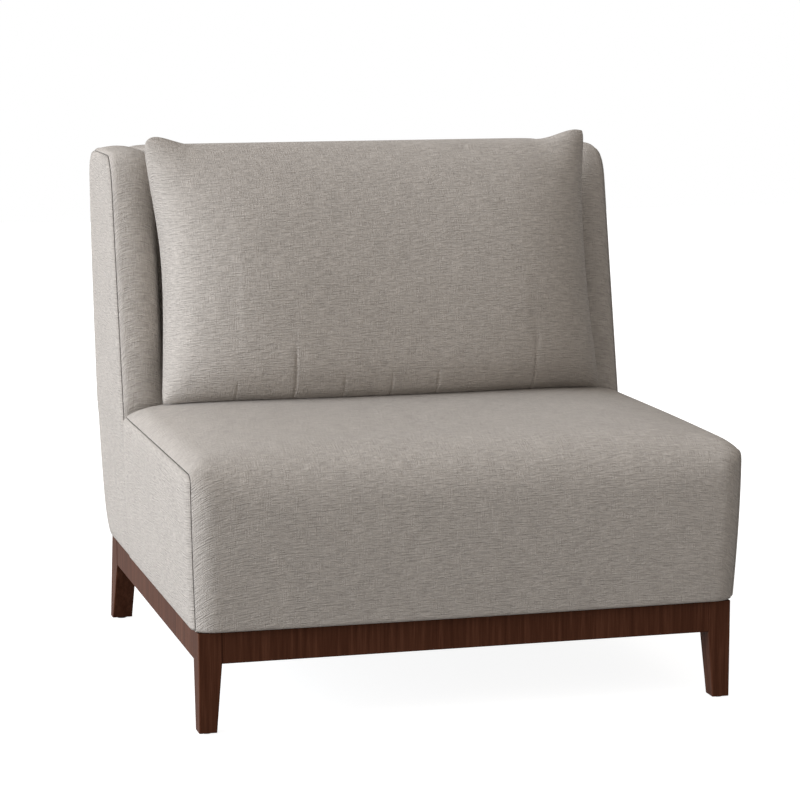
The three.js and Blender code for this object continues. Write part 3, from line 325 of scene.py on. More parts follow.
def stuff(piece, held, pressure, limit):
    """Swells a cover between its held corners, by at most limit."""
    before = places_of(piece)
    outwards = normals_of(piece)
    group = piece.vertex_groups.new(name="held")
    group.add([int(i) for i in np.flatnonzero(held)], 1.0, "REPLACE")
    cloth = piece.modifiers.new("cloth", "CLOTH")
    cloth.settings.vertex_group_mass = "held"
    cloth.settings.use_pressure = True
    cloth.settings.uniform_pressure_force = pressure
    cloth.settings.effector_weights.gravity = 0
    cloth.point_cache.frame_end = STUFFING_FRAMES
    for number in range(1, STUFFING_FRAMES + 1):
        bpy.context.scene.frame_set(number)
    apply_all(piece)
    bpy.context.scene.frame_set(1)
    swell = ((places_of(piece) - before) * outwards).sum(axis=1)
    print(piece.name, "swelled by", round(float(swell.max()) * 1000, 1), "mm before the cap")
    swell = evened(piece, np.clip(swell, 0, limit), held)
    move_to(piece, before + outwards * swell[:, None])
    piece.vertex_groups.remove(piece.vertex_groups["held"])


print("covers are stuffed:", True)

# %% [markdown]
# ## The cloth
#
# The chair's cloth is a warm greige with short slubs, thick places in the thread that lie across
# it as fine uneven streaks. One node group makes the streaks and the threads from the cloth map,
# and gives out a shade and a height. The colours and the shader stay in the material.


# %% Node helpers
def new_group(name, inputs, outputs):
    group = bpy.data.node_groups.new(name, "ShaderNodeTree")
    for way, sockets in (("INPUT", inputs), ("OUTPUT", outputs)):
        for socket, kind in sockets:
            group.interface.new_socket(socket, in_out=way, socket_type=kind)
    return group, group.nodes.new("NodeGroupInput"), group.nodes.new("NodeGroupOutput")


def add_math(tree, operation, *values):
    """A math node on values that are numbers or other nodes' outputs."""
    node = tree.nodes.new("ShaderNodeMath")
    node.operation = operation
    for socket, value in zip(node.inputs, values):
        if isinstance(value, (int, float)):
            socket.default_value = value
        else:
            tree.links.new(value, socket)
    return node.outputs[0]


def add_noise(tree, vector, scale, detail, roughness):
    node = tree.nodes.new("ShaderNodeTexNoise")
    node.inputs["Scale"].default_value = scale
    node.inputs["Detail"].default_value = detail
    node.inputs["Roughness"].default_value = roughness
    tree.links.new(vector, node.inputs["Vector"])
    return node.outputs["Fac"]


def stretched(tree, vector, scale):
    node = tree.nodes.new("ShaderNodeVectorMath")
    node.operation = "MULTIPLY"
    node.inputs[1].default_value = scale
    tree.links.new(vector, node.inputs[0])
    return node.outputs[0]


def ramp(tree, factor, *stops):
    node = tree.nodes.new("ShaderNodeValToRGB")
    elements = node.color_ramp.elements
    while len(elements) < len(stops):
        elements.new(0.5)
    for element, (place, colour) in zip(elements, stops):
        element.position = place
        element.color = (*colour, 1)
    tree.links.new(factor, node.inputs["Fac"])
    return node.outputs["Color"]


def place_group(tree, group):
    node = tree.nodes.new("ShaderNodeGroup")
    node.node_tree = group
    return node


# %% [markdown]
# The slubs are noise, stretched along the weft until each blot is a streak. The three numbers
# of each kind of thread are its waves per metre along the weft, along the warp and through.

# %% Slub weave as a node group
LONG_SLUBS = (46, 470, 1)
SHORT_SLUBS = (120, 640, 1)
WARP_THREADS = (620, 60, 1)
BLOTCHES = 14.0


def make_slub_weave():
    group, given, result = new_group(
        "slub weave",
        [("Cloth", "NodeSocketVector")],
        [("Shade", "NodeSocketFloat"), ("Height", "NodeSocketFloat")],
    )
    cloth = given.outputs["Cloth"]
    long_slub = add_noise(group, stretched(group, cloth, LONG_SLUBS), 1.0, 2.0, 0.5)
    short_slub = add_noise(group, stretched(group, cloth, SHORT_SLUBS), 1.0, 1.0, 0.5)
    warp = add_noise(group, stretched(group, cloth, WARP_THREADS), 1.0, 1.0, 0.5)
    blotch = add_noise(group, cloth, BLOTCHES, 2.0, 0.5)
    long_share = add_math(group, "MULTIPLY", long_slub, 0.7)
    short_share = add_math(group, "MULTIPLY", short_slub, 0.3)
    streaks = add_math(group, "ADD", long_share, short_share)
    threads = add_math(group, "MULTIPLY", warp, 0.25)
    raised = add_math(group, "ADD", streaks, threads)
    drift = add_math(group, "MULTIPLY", blotch, 0.15)
    group.links.new(add_math(group, "ADD", raised, drift), result.inputs["Shade"])
    group.links.new(raised, result.inputs["Height"])
    return group


SLUB_WEAVE = make_slub_weave()
print("the slub weave has", len(SLUB_WEAVE.nodes), "nodes")

# %% [markdown]
# A material here is a Principled shader with a roughness of its own, a colour that varies and
# a little relief. Cloth has hardly any shine, and its fibres catch light at a low angle, which
# is what the sheen is for. At a seam the cloth turns into shadow, and the seam's mask paints
# that shade into the colour, as a darker line.


# %% Upholstery cloth
def new_material(name, roughness, **sockets):
    """A Principled material. Other sockets are given by name, with _ for each space."""
    material = bpy.data.materials.new(name)
    material.use_nodes = True
    shader = material.node_tree.nodes["Principled BSDF"]
    shader.inputs["Roughness"].default_value = roughness
    for socket, value in sockets.items():
        shader.inputs[socket.replace("_", " ")].default_value = value
    return material, material.node_tree, shader


def add_bump(tree, shader, height, distance, strength):
    node = tree.nodes.new("ShaderNodeBump")
    node.inputs["Distance"].default_value = distance
    node.inputs["Strength"].default_value = strength
    tree.links.new(height, node.inputs["Height"])
    tree.links.new(node.outputs["Normal"], shader.inputs["Normal"])


def darkened(tree, colour, mask, depth):
    """The colour, darker by depth where the mask is 1."""
    left = add_math(tree, "SUBTRACT", 1.0, add_math(tree, "MULTIPLY", mask, depth))
    node = tree.nodes.new("ShaderNodeVectorMath")
    node.operation = "SCALE"
    tree.links.new(colour, node.inputs[0])
    tree.links.new(left, node.inputs["Scale"])
    return node.outputs[0]


CLOTH_STOPS = (
    (0.55, (0.329, 0.302, 0.2755)),
    (0.7, (0.392, 0.36, 0.328)),
    (0.85, (0.455, 0.418, 0.381)),
)
# How far the painted seam shade darkens the cloth's colour at most.
SEAM_SHADE = 0.5
WEAVE_RELIEF = 0.0034


def make_upholstery_cloth():
    material, tree, shader = new_material(
        "greige_slub_cloth",
        0.9,
        Sheen_Weight=0.05,
        Sheen_Roughness=0.5,
        Specular_IOR_Level=0.12,
    )
    cloth = tree.nodes.new("ShaderNodeUVMap")
    cloth.uv_map = "cloth"
    # The seam attribute holds how much painted shade each corner gets near a seam, from 0 to 1.
    seam = tree.nodes.new("ShaderNodeAttribute")
    seam.attribute_name = "seam"
    weave = place_group(tree, SLUB_WEAVE)
    tree.links.new(cloth.outputs["UV"], weave.inputs["Cloth"])
    colour = ramp(tree, weave.outputs["Shade"], *CLOTH_STOPS)
    # Painted shade: the colour is darkened where the seam attribute is 1.
    shaded = darkened(tree, colour, seam.outputs["Fac"], SEAM_SHADE)
    tree.links.new(shaded, shader.inputs["Base Color"])
    add_bump(tree, shader, weave.outputs["Height"], WEAVE_RELIEF, 1.0)
    return material


UPHOLSTERY = make_upholstery_cloth()
print("cloth material", UPHOLSTERY.name)

# %% [markdown]
# A cover is finished in the same few steps each time: it gets its cloth and smooth shading up to
# a crease of 40 degrees, it is put under the body that it belongs to, and the model's nodes that
# it stands for are hidden.


# %% Finishing a soft piece
def dress(piece, material, nodes, body="chair"):
    """Gives a piece its material and smooth shading, puts it under its body and hides the model's
    nodes that it stands for.
    """
    piece.data.materials.clear()
    piece.data.materials.append(material)
    select_only(piece)
    bpy.ops.object.shade_smooth_by_angle(angle=math.radians(40))
    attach(piece, body)
    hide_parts(*nodes)
    print(piece.name, "has", len(piece.data.polygons), "faces")


# %% [markdown]
# ## The seat
#
# A tight seat is a block of foam over springs, pulled into a crown by its cover. One long strip
# of cloth runs from the back, over the rolled front edge and down to the wood, and is sewn to a
# flat panel on each side. The strip is a grid rolled round the block: each column is a place
# across the chair and each row a place round the block. Towards the side seams the crown falls
# away in a steep curve, which gives the seam its full lips.

# %% Sizes of the seat
SEAM_HEIGHT = 0.3987
SEAT_CROWN = 0.034
SEAT_LONG_CROWN = 0.006
SEAT_SHOULDER = 0.045
SEAT_CROWN_POWERS = (7, 3)
SEAM_LIP = 0.0014
SEAM_GAP = 0.0004
SEAT_FRONT = -0.023
SEAT_BELLY = 0.0046
SEAT_CORNER = 0.022
SEAT_ROLL = 0.085
SEAT_ROLL_BACK = 1.4
SEAT_TUCK = 0.009
SEAT_HALF = LEG_FACE + 0.009
SEAT_HALF_FOOT = LEG_FACE + 0.002
PANEL_BACK = 0.557
FOOT_ROLL = 0.007
WING_INNER = LEG_FACE - 0.063
BACK_RAKE = 0.21
BACK_FOOT_DEPTH = 0.6262
SEAT_TOP = SEAM_HEIGHT + SEAT_CROWN


def inner_back(z):
    """Depth of the inside back's front face at a height."""
    return BACK_FOOT_DEPTH + BACK_RAKE * (z - SEAT_TOP)


def seat_half(z):
    """Half the seat's width at a height, which grows a little towards the top."""
    share = np.clip((z - FOOT) / (SEAM_HEIGHT - FOOT), 0, 1)
    return lerp(SEAT_HALF_FOOT, SEAT_HALF, np.sin(share * math.pi / 2))


DIAGONAL = math.sqrt(0.5)


def shoulder(distance, radius):
    """How far a face falls back towards a seam on a corner, round an eighth of a circle."""
    past = np.clip(radius * DIAGONAL - distance, 0, radius * DIAGONAL)
    return radius - np.sqrt(radius**2 - past**2)


def crown_at(share, power):
    """The crown at a share of the half width: a round shoulder at the seam, then a slow rise."""
    share = np.minimum(np.abs(share), 1)
    edge = shoulder(0, SEAT_SHOULDER) / SEAT_CROWN
    fallen = shoulder((1 - share) * SEAT_HALF, SEAT_SHOULDER) / SEAT_CROWN
    return edge - fallen + (1 - edge) * (1 - share**power)


TOP_POINTS = 54


def seat_outline(share):
    """Round the seat from the back of its top, over the front and back along the underside."""
    crown, crown_behind = (crown_at(share, power) for power in SEAT_CROWN_POWERS)
    top = SEAM_HEIGHT + (SEAT_CROWN - SEAT_LONG_CROWN) * crown
    middle = SEAM_HEIGHT + SEAT_CROWN * crown
    high = SEAM_HEIGHT + SEAT_CROWN * crown_behind
    from_side = (1 - min(abs(share), 1)) * SEAT_HALF
    front = SEAT_FRONT + SEAT_BELLY * share**2 + shoulder(from_side, SEAT_SHOULDER)
    roll = lerp(SEAT_CORNER, SEAT_ROLL, crown)
    start = front + roll * lerp(1, SEAT_ROLL_BACK, crown)
    back = inner_back(high) - CLEAR
    back_low = inner_back(FOOT) - CLEAR
    low = front + SEAT_TUCK
    over = bend((start, top), ((front + back) / 2, middle), (back, high), TOP_POINTS)[::-1]
    rolled = bend((start, top), (front, top), (front, top - roll), 16)
    down = bend((front, top - roll), (front, (FOOT + top) / 2), (low, FOOT + FOOT_ROLL), 22)
    under = bend((low, FOOT + FOOT_ROLL), (low, FOOT), (low + FOOT_ROLL, FOOT), 6)
    along_foot = straight((low + FOOT_ROLL, FOOT), (back_low, FOOT), 16)
    up_behind = straight((back_low, FOOT), (back, high), 10)
    return trace(over, rolled, down, under, along_foot, up_behind)


print("the seat's crown stands", round(SEAT_TOP, 4), "m above the floor")

# %% [markdown]
# Where two pieces of cloth are sewn together, both turn in on a small radius, and a fine dark
# line is left between their lips; shade painted into the lips' colour deepens it. The strip's last
# columns make that turn, and its outermost outline is kept, because the side panels start from it.


# %% Lips of a seam
def lip_turn():
    """How far a lip lies inwards from the side and down from the face, as it turns to the seam."""
    turned = []
    for angle in np.radians((30, 60, 90)):
        along, across = math.sin(angle), 1 - math.cos(angle)
        inwards = SEAM_LIP * DIAGONAL * (across - along)
        down = SEAM_LIP * DIAGONAL * (along + across)
        turned.append((inwards, down))
    return [*turned, (1.2 * SEAM_LIP, 2.6 * SEAM_LIP)]


# Painted shade on the lip's columns, from none on the face to full in the seam.
LIP_SHADE = (0, 0.4, 0.9, 1)
print("a lip lies this far in and down, in mm:", np.round(np.array(lip_turn()) * 1000, 2).tolist())

# %% [markdown]
# The strip itself is laid in columns from side to side, closer together where the crown falls
# away. Beside the wings its top drops to meet them, as the real cover is pulled down there.
# It is stuffed between its side seams, its foot and its back.

# %% Seat strip
SEAT_EAR_DROP = 0.42
SEAT_EAR_START = PANEL_BACK - 0.045
PANEL_START = (3 * DIAGONAL - 1) * SEAM_LIP + SEAM_GAP
SEAT_COLUMNS = 91
SEAT_PRESSURE = 2.5
SEAT_SWELL = 0.002
SEAT_HELD_FOOT = FOOT + 0.02
SEAT_HELD_BACK = BACK_FOOT_DEPTH - 0.01
SEAT_HELD_SIDE = 0.002
seat_lip = seat_outline(1)
seat_seam = drawn_in(seat_lip[:-1], PANEL_START)


def make_seat_strip():
    turn = math.pi / 2
    shares = np.sin(np.linspace(-turn, turn, SEAT_COLUMNS))
    tucks = [(inwards, drawn_in(seat_lip[:-1], inset)) for inwards, inset in lip_turn()]
    columns = [(-1, inwards, outline) for inwards, outline in reversed(tucks)]
    columns += [(share, 0, seat_outline(share)[:-1]) for share in shares]
    columns += [(1, inwards, outline) for inwards, outline in tucks]
    outlines = np.stack([outline for _, _, outline in columns], 1)
    outlines = np.concatenate([outlines, outlines[:1]])
    share = np.array([share for share, _, _ in columns])
    inwards = np.array([inwards for _, inwards, _ in columns])
    depth, z = outlines[..., 0], outlines[..., 1]
    x = share * (seat_half(z) - inwards)
    beside = smooth((np.abs(x) - WING_INNER + 0.012) / 0.016)
    near_wing = smooth((depth - SEAT_EAR_START) / (PANEL_BACK - SEAT_EAR_START)) ** 2
    z = z - SEAT_EAR_DROP * beside * near_wing * np.maximum(z - SEAM_HEIGHT, 0)
    piece = lay_grid("seat_strip", x, depth, z)
    # The lip's columns on both sides get the painted seam shade.
    painted_shade_by_column = [0] * len(columns)
    painted_shade_by_column[: len(tucks)] = list(reversed(LIP_SHADE))
    painted_shade_by_column[-len(tucks) :] = list(LIP_SHADE)
    keep_values(piece, seam=np.tile(painted_shade_by_column, len(x)))
    close_up(piece)
    return piece


seat_strip = make_seat_strip()
places = places_of(seat_strip)
low_or_back = (places[:, 2] < SEAT_HELD_FOOT) | (places[:, 1] > LEG_FRONT + SEAT_HELD_BACK)
at_seam = np.abs(places[:, 0]) > seat_half(places[:, 2]) - SEAT_HELD_SIDE
stuff(seat_strip, at_seam | low_or_back, SEAT_PRESSURE, SEAT_SWELL)

# %% [markdown]
# The wings stand beside the back of the seat, and the seat frame fills its underside. Both are
# taken out of the stuffed block with a Boolean, as an upholsterer notches the foam.


# %% Notches in the seat
def block(name, low, high):
    """A plain block between two corners, given in x, depth and z, to cut with."""
    low = Vector((low[0], LEG_FRONT + low[1], low[2]))
    high = Vector((high[0], LEG_FRONT + high[1], high[2]))
    bpy.ops.object.select_all(action="DESELECT")
    bpy.ops.mesh.primitive_cube_add(size=1, location=(low + high) / 2, scale=high - low)
    bpy.ops.object.transform_apply(location=True, rotation=False, scale=True)
    bpy.context.object.name = name
    return bpy.context.object


def cut_away(piece, cutter):
    """Takes a block out of a piece, and then the block out of the scene."""
    modifier = piece.modifiers.new("notch", "BOOLEAN")
    modifier.operation = "DIFFERENCE"
    modifier.object = cutter
    apply_all(piece)
    bpy.data.objects.remove(cutter)


PAST = 0.05
for side in (-1, 1):
    edges = sorted((side * (WING_INNER - CLEAR), side * (SEAT_HALF + PAST)))
    notch_low = (edges[0], PANEL_BACK, FOOT - PAST)
    notch_high = (edges[1], 1, SEAT_TOP + PAST)
    cut_away(seat_strip, block("wing_notch", notch_low, notch_high))
frame_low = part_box("left_seat_rail")[0]
frame_half = -frame_low.x + CLEAR
hollow_low = (-frame_half, frame_low.y - LEG_FRONT - CLEAR, FOOT - PAST)
hollow = block("seat_hollow", hollow_low, (frame_half, 1, deck_high.z + CLEAR))
cut_away(seat_strip, hollow)
dress(seat_strip, UPHOLSTERY, ["seat_top_cover", "seat_foam"])

# %% [markdown]
# ## Side panels
#
# Each side of the seat, and each wing, is closed by a panel that follows the seam. A panel is
# a grid between its front and back edge at each height. Its face bellies out a little, and
# near the seam it rolls inwards on a small radius, so that two panels that meet leave the fine
# dark line of a plain seam. Shade painted into the cloth along the sewn edge darkens that line.

# %% Panel helper
PANEL_THICKNESS = 0.0055
SEAT_PANEL_SHOULDER = 0.016
BACK_PANEL_SHOULDER = 0.011


def panel_rise(radius):
    """How far a panel's face lies outside the seam that it is sewn along."""
    return 2 * DIAGONAL * SEAM_LIP + shoulder(0, radius)


def panel_fall(distance, radius):
    """How far a panel's face falls back at a distance from its sewn edge, and then its lip."""
    rounded = shoulder(np.maximum(distance - (1 - DIAGONAL) * SEAM_LIP, 0), radius)
    turn = np.clip(1 - distance / SEAM_LIP, DIAGONAL, 1)
    return rounded + SEAM_LIP * (DIAGONAL - np.sqrt(1 - turn**2))


def foot_fall(distance):
    """How far a cover's face falls back where it turns under at the wood."""
    return FOOT_ROLL - np.sqrt(FOOT_ROLL**2 - np.clip(FOOT_ROLL - distance, 0, FOOT_ROLL) ** 2)


def painted_seam_shade(from_seam):
    """The painted seam shade on a panel: 1 on the sewn edge, fading out over a third of the lip."""
    return (1 - np.clip(from_seam / SEAM_LIP / 0.35, 0, 1)).reshape(-1)


def on_path(path, heights):
    """Depth of a path that rises all the way, at some heights."""
    order = np.argsort(path[:, 1])
    return np.interp(heights, path[order, 1], path[order, 0])


def side_panel(name, front_path, back_path, heights, columns, edge, radius, belly):
    """A right-hand panel between two edges. Its belly is how far and how soon it swells."""
    low, high = heights[0], heights[-1]
    front, back = on_path(front_path, heights[:, None]), on_path(back_path, heights[:, None])
    shares = edge_shares(float(np.median(back - front)), columns)[None, :]
    depth = lerp(front, back, shares)
    z = heights[:, None] + 0 * shares
    from_seam = np.minimum(np.minimum(depth - front, back - depth), high - z)
    swell = 1 - (1 - np.clip(np.minimum(from_seam, z - low) / belly[1], 0, 1)) ** 2.5
    fallen = panel_fall(from_seam, radius) + foot_fall(z - low)
    x = edge(depth, z) + panel_rise(radius) + belly[0] * swell - fallen
    piece = lay_grid(name, x, depth, z)
    # Painted shade along the panel's sewn edges.
    keep_values(piece, seam=painted_seam_shade(from_seam))
    face_towards(piece, (1, 0, 0))
    thicken(piece, PANEL_THICKNESS)
    return piece


print("a seat side stands", round(panel_rise(SEAT_PANEL_SHOULDER) * 1000, 2), "mm outside its seam")

# %% [markdown]
# The seat's side panel runs from the strip's seam in front to the wing behind. The right one is
# modelled, and the left one is its mirror image with a mesh of its own.

# %% Seat sides
SEAT_SIDE_BELLY = (0.003, 0.06)
SEAT_SIDE_ROWS = 30
SEAT_SIDE_COLUMNS = 44
seam_top = float(seat_seam[:TOP_POINTS, 1].min())
seam_corner = seat_lip[:, 0].min() + SEAT_CORNER + 0.01
seam_front = seat_seam[(seat_seam[:, 0] < seam_corner) & (seat_seam[:, 1] > FOOT)]
seam_back = straight((PANEL_BACK - CLEAR, FOOT), (PANEL_BACK - CLEAR, seam_top), 2)
side_heights = lerp(FOOT, seam_top, edge_shares(seam_top - FOOT, SEAT_SIDE_ROWS))
right_side = side_panel(
    "right_seat_side",
    seam_front,
    seam_back,
    side_heights,
    SEAT_SIDE_COLUMNS,
    lambda depth, z: seat_half(z),
    SEAT_PANEL_SHOULDER,
    SEAT_SIDE_BELLY,
)
left_side = mirror_copy(right_side, "left_seat_side")
dress(right_side, UPHOLSTERY, ["right_seat_side_cover"])
dress(left_side, UPHOLSTERY, ["left_seat_side_cover"])

# %% [markdown]
# ## The winged back
#
# Each wing is a padded board. Seen from the side it rakes back, with a soft corner at the top
# and a long curve down its back edge. A band of cloth wraps its front and top and swells
# between its edges, and a puffy outer panel closes the side. The same outline draws the band,
# the outer panel and the outside back, so that their seams fall together.

# %% Outline of the back
WING_TOP = 0.8254
WING_FRONT = ((0.566, 0.388), (0.608, 0.57), (0.652, 0.768))
WING_TOP_FRONT = (0.715, WING_TOP)
WING_TOP_BACK = (0.838, WING_TOP)
WING_BACK = ((0.8725, 0.79), (0.876, 0.65), (0.805, 0.246))
WING_FOOT = (0.73, FOOT)
WING_FRONT_CORNER = (0.664, WING_TOP)
WING_BACK_CORNER = (0.868, WING_TOP)
WING_FOOT_CORNER = (0.794, FOOT)
SEAT_JOINT = PANEL_BACK + CLEAR
SEAT_JOINT_TOP = 0.379

front_edge = trace(
    straight((SEAT_JOINT, FOOT), (SEAT_JOINT, SEAT_JOINT_TOP), 14),
    straight((SEAT_JOINT, SEAT_JOINT_TOP), WING_FRONT[0], 4),
    bend(*WING_FRONT, 34),
    bend(WING_FRONT[2], WING_FRONT_CORNER, WING_TOP_FRONT, 14),
)
back_edge = trace(
    bend(WING_TOP_BACK, WING_BACK_CORNER, WING_BACK[0], 12),
    bend(*WING_BACK, 40),
    bend(WING_BACK[2], WING_FOOT_CORNER, WING_FOOT, 12),
)
top_edge = straight(WING_TOP_FRONT, WING_TOP_BACK, 9)
bottom_edge = straight(WING_FOOT, (SEAT_JOINT, FOOT), 10)
wing_outline = trace(front_edge, top_edge, back_edge, bottom_edge)[:-1]
print("the wing's outline has", len(wing_outline), "points")

WING_STEP = 0.0015
TOP_DRAW = 0.002
TOP_FROM_DEPTH = 0.66
TOP_FADE = 0.05


def wing_edge(depth, z):
    """Half the chair's width along the wing's outer seam, drawn in where the top seam is."""
    near_top = smooth((z - WING_TOP + 0.03) / 0.03)
    above_seat = WING_STEP * smooth((z - SEAM_HEIGHT + 0.05) / 0.05)
    on_top = smooth((depth - TOP_FROM_DEPTH) / TOP_FADE)
    return seat_half(z) + above_seat - TOP_DRAW * near_top * on_top


# %% [markdown]
# A band is a grid wrapped round the wing's outline, with one column for each place between the
# wing's inner corner and its outer seam. It turns a soft corner towards the pillow, crowns in the
# middle and ends in the seam's lip. Only the front and the top above the seat swell.

# %% Wing bands
BAND_CROWN = 0.006
BAND_SHOULDER = 0.012
BAND_WIDTH = SEAT_HALF - WING_INNER
BAND_CORNER_WIDTH = 0.007
BAND_CORNER_DEPTHS = (0.01, 0.03)
BAND_BEHIND = 0.005
BAND_SWELL_FROM_HEIGHT = 0.385
BAND_SWELL_TO_DEPTH = 0.85
BAND_TOP_SHARE = 0.8
BAND_BEHIND_DEPTH = 0.862
BAND_FACING_DEPTH = 0.71
BAND_FACING_HEIGHT = 0.44
BAND_PRESSURE = 2.5
BAND_SWELL = 0.002
BAND_HELD_HEIGHT = 0.42
BAND_HELD_DEPTH = 0.83


def wing_swell(outline):
    """Which points of the outline swell: the front and top, above the seat."""
    above = smooth((outline[:, 1] - BAND_SWELL_FROM_HEIGHT) / 0.04)
    ahead = smooth((BAND_SWELL_TO_DEPTH - outline[:, 0]) / 0.03)
    on_top = smooth((outline[:, 0] - TOP_FROM_DEPTH) / TOP_FADE)
    return above * ahead * lerp(1, BAND_TOP_SHARE, on_top)


def band_crown(share):
    """How far the band stands out at a share of its width: a slow crown between two shoulders."""
    outer = shoulder(0, BAND_SHOULDER) - shoulder((1 - share) * BAND_WIDTH, BAND_SHOULDER)
    inner = (1 - (1 - share) ** 16) ** 0.5
    return BAND_CROWN * 4 * share * (1 - share) + outer * inner


def make_wing_band():
    swell = wing_swell(wing_outline)
    depth, z = wing_outline[:, 0], wing_outline[:, 1]
    behind = (1 - smooth((BAND_BEHIND_DEPTH - depth) / 0.02)) * BAND_BEHIND
    facing = smooth((BAND_FACING_DEPTH - depth) / 0.05) * smooth((z - BAND_FACING_HEIGHT) / 0.04)
    corner_depth = lerp(*BAND_CORNER_DEPTHS, facing)
    columns = []
    for angle in np.radians((0, 24, 46, 66)):
        inner = WING_INNER + CLEAR + BAND_CORNER_WIDTH * (1 - math.cos(angle))
        inset = behind + corner_depth * (1 - math.sin(angle))
        columns.append((inner, None, drawn_in(wing_outline, inset)))
    for turn in np.linspace(0, math.pi, 32)[1:]:
        share = (1 - math.cos(turn)) / 2
        inset = behind - swell * band_crown(share)
        columns.append((None, share, drawn_in(wing_outline, inset)))
    lip = behind - swell * band_crown(1)
    for inwards, inset in lip_turn():
        columns.append((-inwards, 1, drawn_in(wing_outline, lip + inset)))
    outlines = np.stack([outline for _, _, outline in columns], 1)
    outlines = np.concatenate([outlines, outlines[:1]])
    depth, z = outlines[..., 0], outlines[..., 1]
    outer = wing_edge(depth, z)
    x = np.empty_like(depth)
    start = WING_INNER + CLEAR + BAND_CORNER_WIDTH
    for i, (fixed, share, _) in enumerate(columns):
        if share is None:
            x[:, i] = fixed
        elif fixed is None:
            x[:, i] = lerp(start, outer[:, i], share)
        else:
            x[:, i] = outer[:, i] + fixed
    piece = lay_grid("right_wing_band", x, depth, z)
    # The lip's columns at the outer seam get the painted seam shade.
    painted_shade_by_column = [0] * (len(columns) - len(LIP_SHADE)) + list(LIP_SHADE)
    keep_values(piece, seam=np.tile(painted_shade_by_column, len(x)))
    close_up(piece)
    return piece


right_band = make_wing_band()
places = places_of(right_band)
outer_seam = places[:, 0] > wing_edge(places[:, 1] - LEG_FRONT, places[:, 2]) - 0.001
inner_face = places[:, 0] < WING_INNER + 0.003
hidden = (places[:, 2] < BAND_HELD_HEIGHT) | (places[:, 1] > LEG_FRONT + BAND_HELD_DEPTH)
stuff(right_band, outer_seam | inner_face | hidden, BAND_PRESSURE, BAND_SWELL)
refine(right_band)
left_band = mirror_copy(right_band, "left_wing_band")

# %% [markdown]
# The outer panel fills the same outline, set in by the seam's lip. Its front edge is the
# outline up to the middle of the top, and its back edge the rest down to the foot.

# %% Wing outer panels
WING_PANEL_BELLY = (0.0012, 0.06)
WING_PANEL_ROWS = 70
WING_PANEL_COLUMNS = 38
FRONT_POINTS = len(front_edge) + 4
panel_outline = drawn_in(wing_outline, PANEL_START)
panel_front = panel_outline[:FRONT_POINTS]
panel_front = panel_front[panel_front[:, 1] > FOOT + 2 * PANEL_START]
panel_back = panel_outline[FRONT_POINTS : -len(bottom_edge)]
panel_heights = lerp(FOOT, WING_TOP - PANEL_START, edge_shares(WING_TOP - FOOT, WING_PANEL_ROWS))
right_wing = side_panel(
    "right_wing_panel",
    panel_front,
    panel_back,
    panel_heights,
    WING_PANEL_COLUMNS,
    wing_edge,
    BACK_PANEL_SHOULDER,
    WING_PANEL_BELLY,
)
left_wing = mirror_copy(right_wing, "left_wing_panel")
for side, band, panel in (("right", right_band, right_wing), ("left", left_band, left_wing)):
    dress(band, UPHOLSTERY, [side + "_wing_inner_cover", side + "_wing_foam"])
    dress(panel, UPHOLSTERY, [side + "_wing_outer_cover"])

# %% [markdown]
# ## Inside and outside back
#
# Between the wings a raked pad carries the pillow. Its top rolls over level with the wings, and
# laps a little over their bands at the rear. Behind it one panel closes the whole back from wing
# to wing and turns under at the foot.

# %% Inside back
BACK_LOW = deck_high.z + 0.0012
BACK_CORNER = 0.04
BACK_PANEL_ROOM = 0.0075
INNER_TOP_END = 0.006
INNER_TOP = 0.0076
INNER_HALF = WING_INNER - CLEAR
INNER_OVER = 0.015
INNER_END_INSET = 0.004
INNER_COLUMNS = 61


def inside_back_outline(crown):
    turn = WING_TOP - BACK_CORNER
    top = inner_back(WING_TOP)
    rear_heights = np.linspace(WING_BACK[0][1], BACK_LOW, 16)
    rear = np.stack([on_path(back_edge, rear_heights) - BACK_PANEL_ROOM, rear_heights], 1)
    high = WING_TOP + lerp(INNER_TOP_END, INNER_TOP, crown)
    return trace(
        straight((inner_back(BACK_LOW), BACK_LOW), (inner_back(turn), turn), 40),
        bend((inner_back(turn), turn), (top, high), (top + BACK_CORNER, high), 12),
        straight((top + BACK_CORNER, high), (WING_TOP_BACK[0] - 0.004, high), 12),
        bend((WING_TOP_BACK[0] - 0.004, high), (rear[0, 0], high), rear[0], 8),
        rear,
        straight(rear[-1], (inner_back(BACK_LOW), BACK_LOW), 12),
    )


def make_inside_back():
    shares = np.sin(np.linspace(-math.pi / 2, math.pi / 2, INNER_COLUMNS))
    crowns = (1 - np.abs(shares) ** 24) ** 0.5
    outlines = []
    for crown in crowns:
        inset = INNER_END_INSET * (1 - crown)
        outlines.append(drawn_in(inside_back_outline(crown)[:-1], inset))
    outlines = np.stack(outlines, 1)
    outlines = np.concatenate([outlines, outlines[:1]])
    depth, z = outlines[..., 0], outlines[..., 1]
    over_band = smooth((depth - 0.74) / 0.1) * smooth((z - WING_TOP - 0.0006) / 0.0015)
    x = shares[None, :] * (INNER_HALF + INNER_OVER * over_band)
    piece = lay_grid("inside_back_pad", x, depth, z)
    keep_values(piece, seam=0)
    close_up(piece)
    return piece


inside_back = make_inside_back()
dress(inside_back, UPHOLSTERY, ["inside_back_cover", "back_foam"])

# %% [markdown]
# The outside back follows the wings' back edge from the top to the foot. It swells a little in
# the middle, but not near its top and foot, where it is tacked to rails.

# %% Outside back
BACK_PANEL_CROWN = 0.01
BACK_PANEL_THICKNESS = 0.004
BACK_FOOT_FADE = 0.09
BACK_TOP_FADE = 0.12
BACK_PANEL_ROWS = 60
BACK_PANEL_COLUMNS = 46


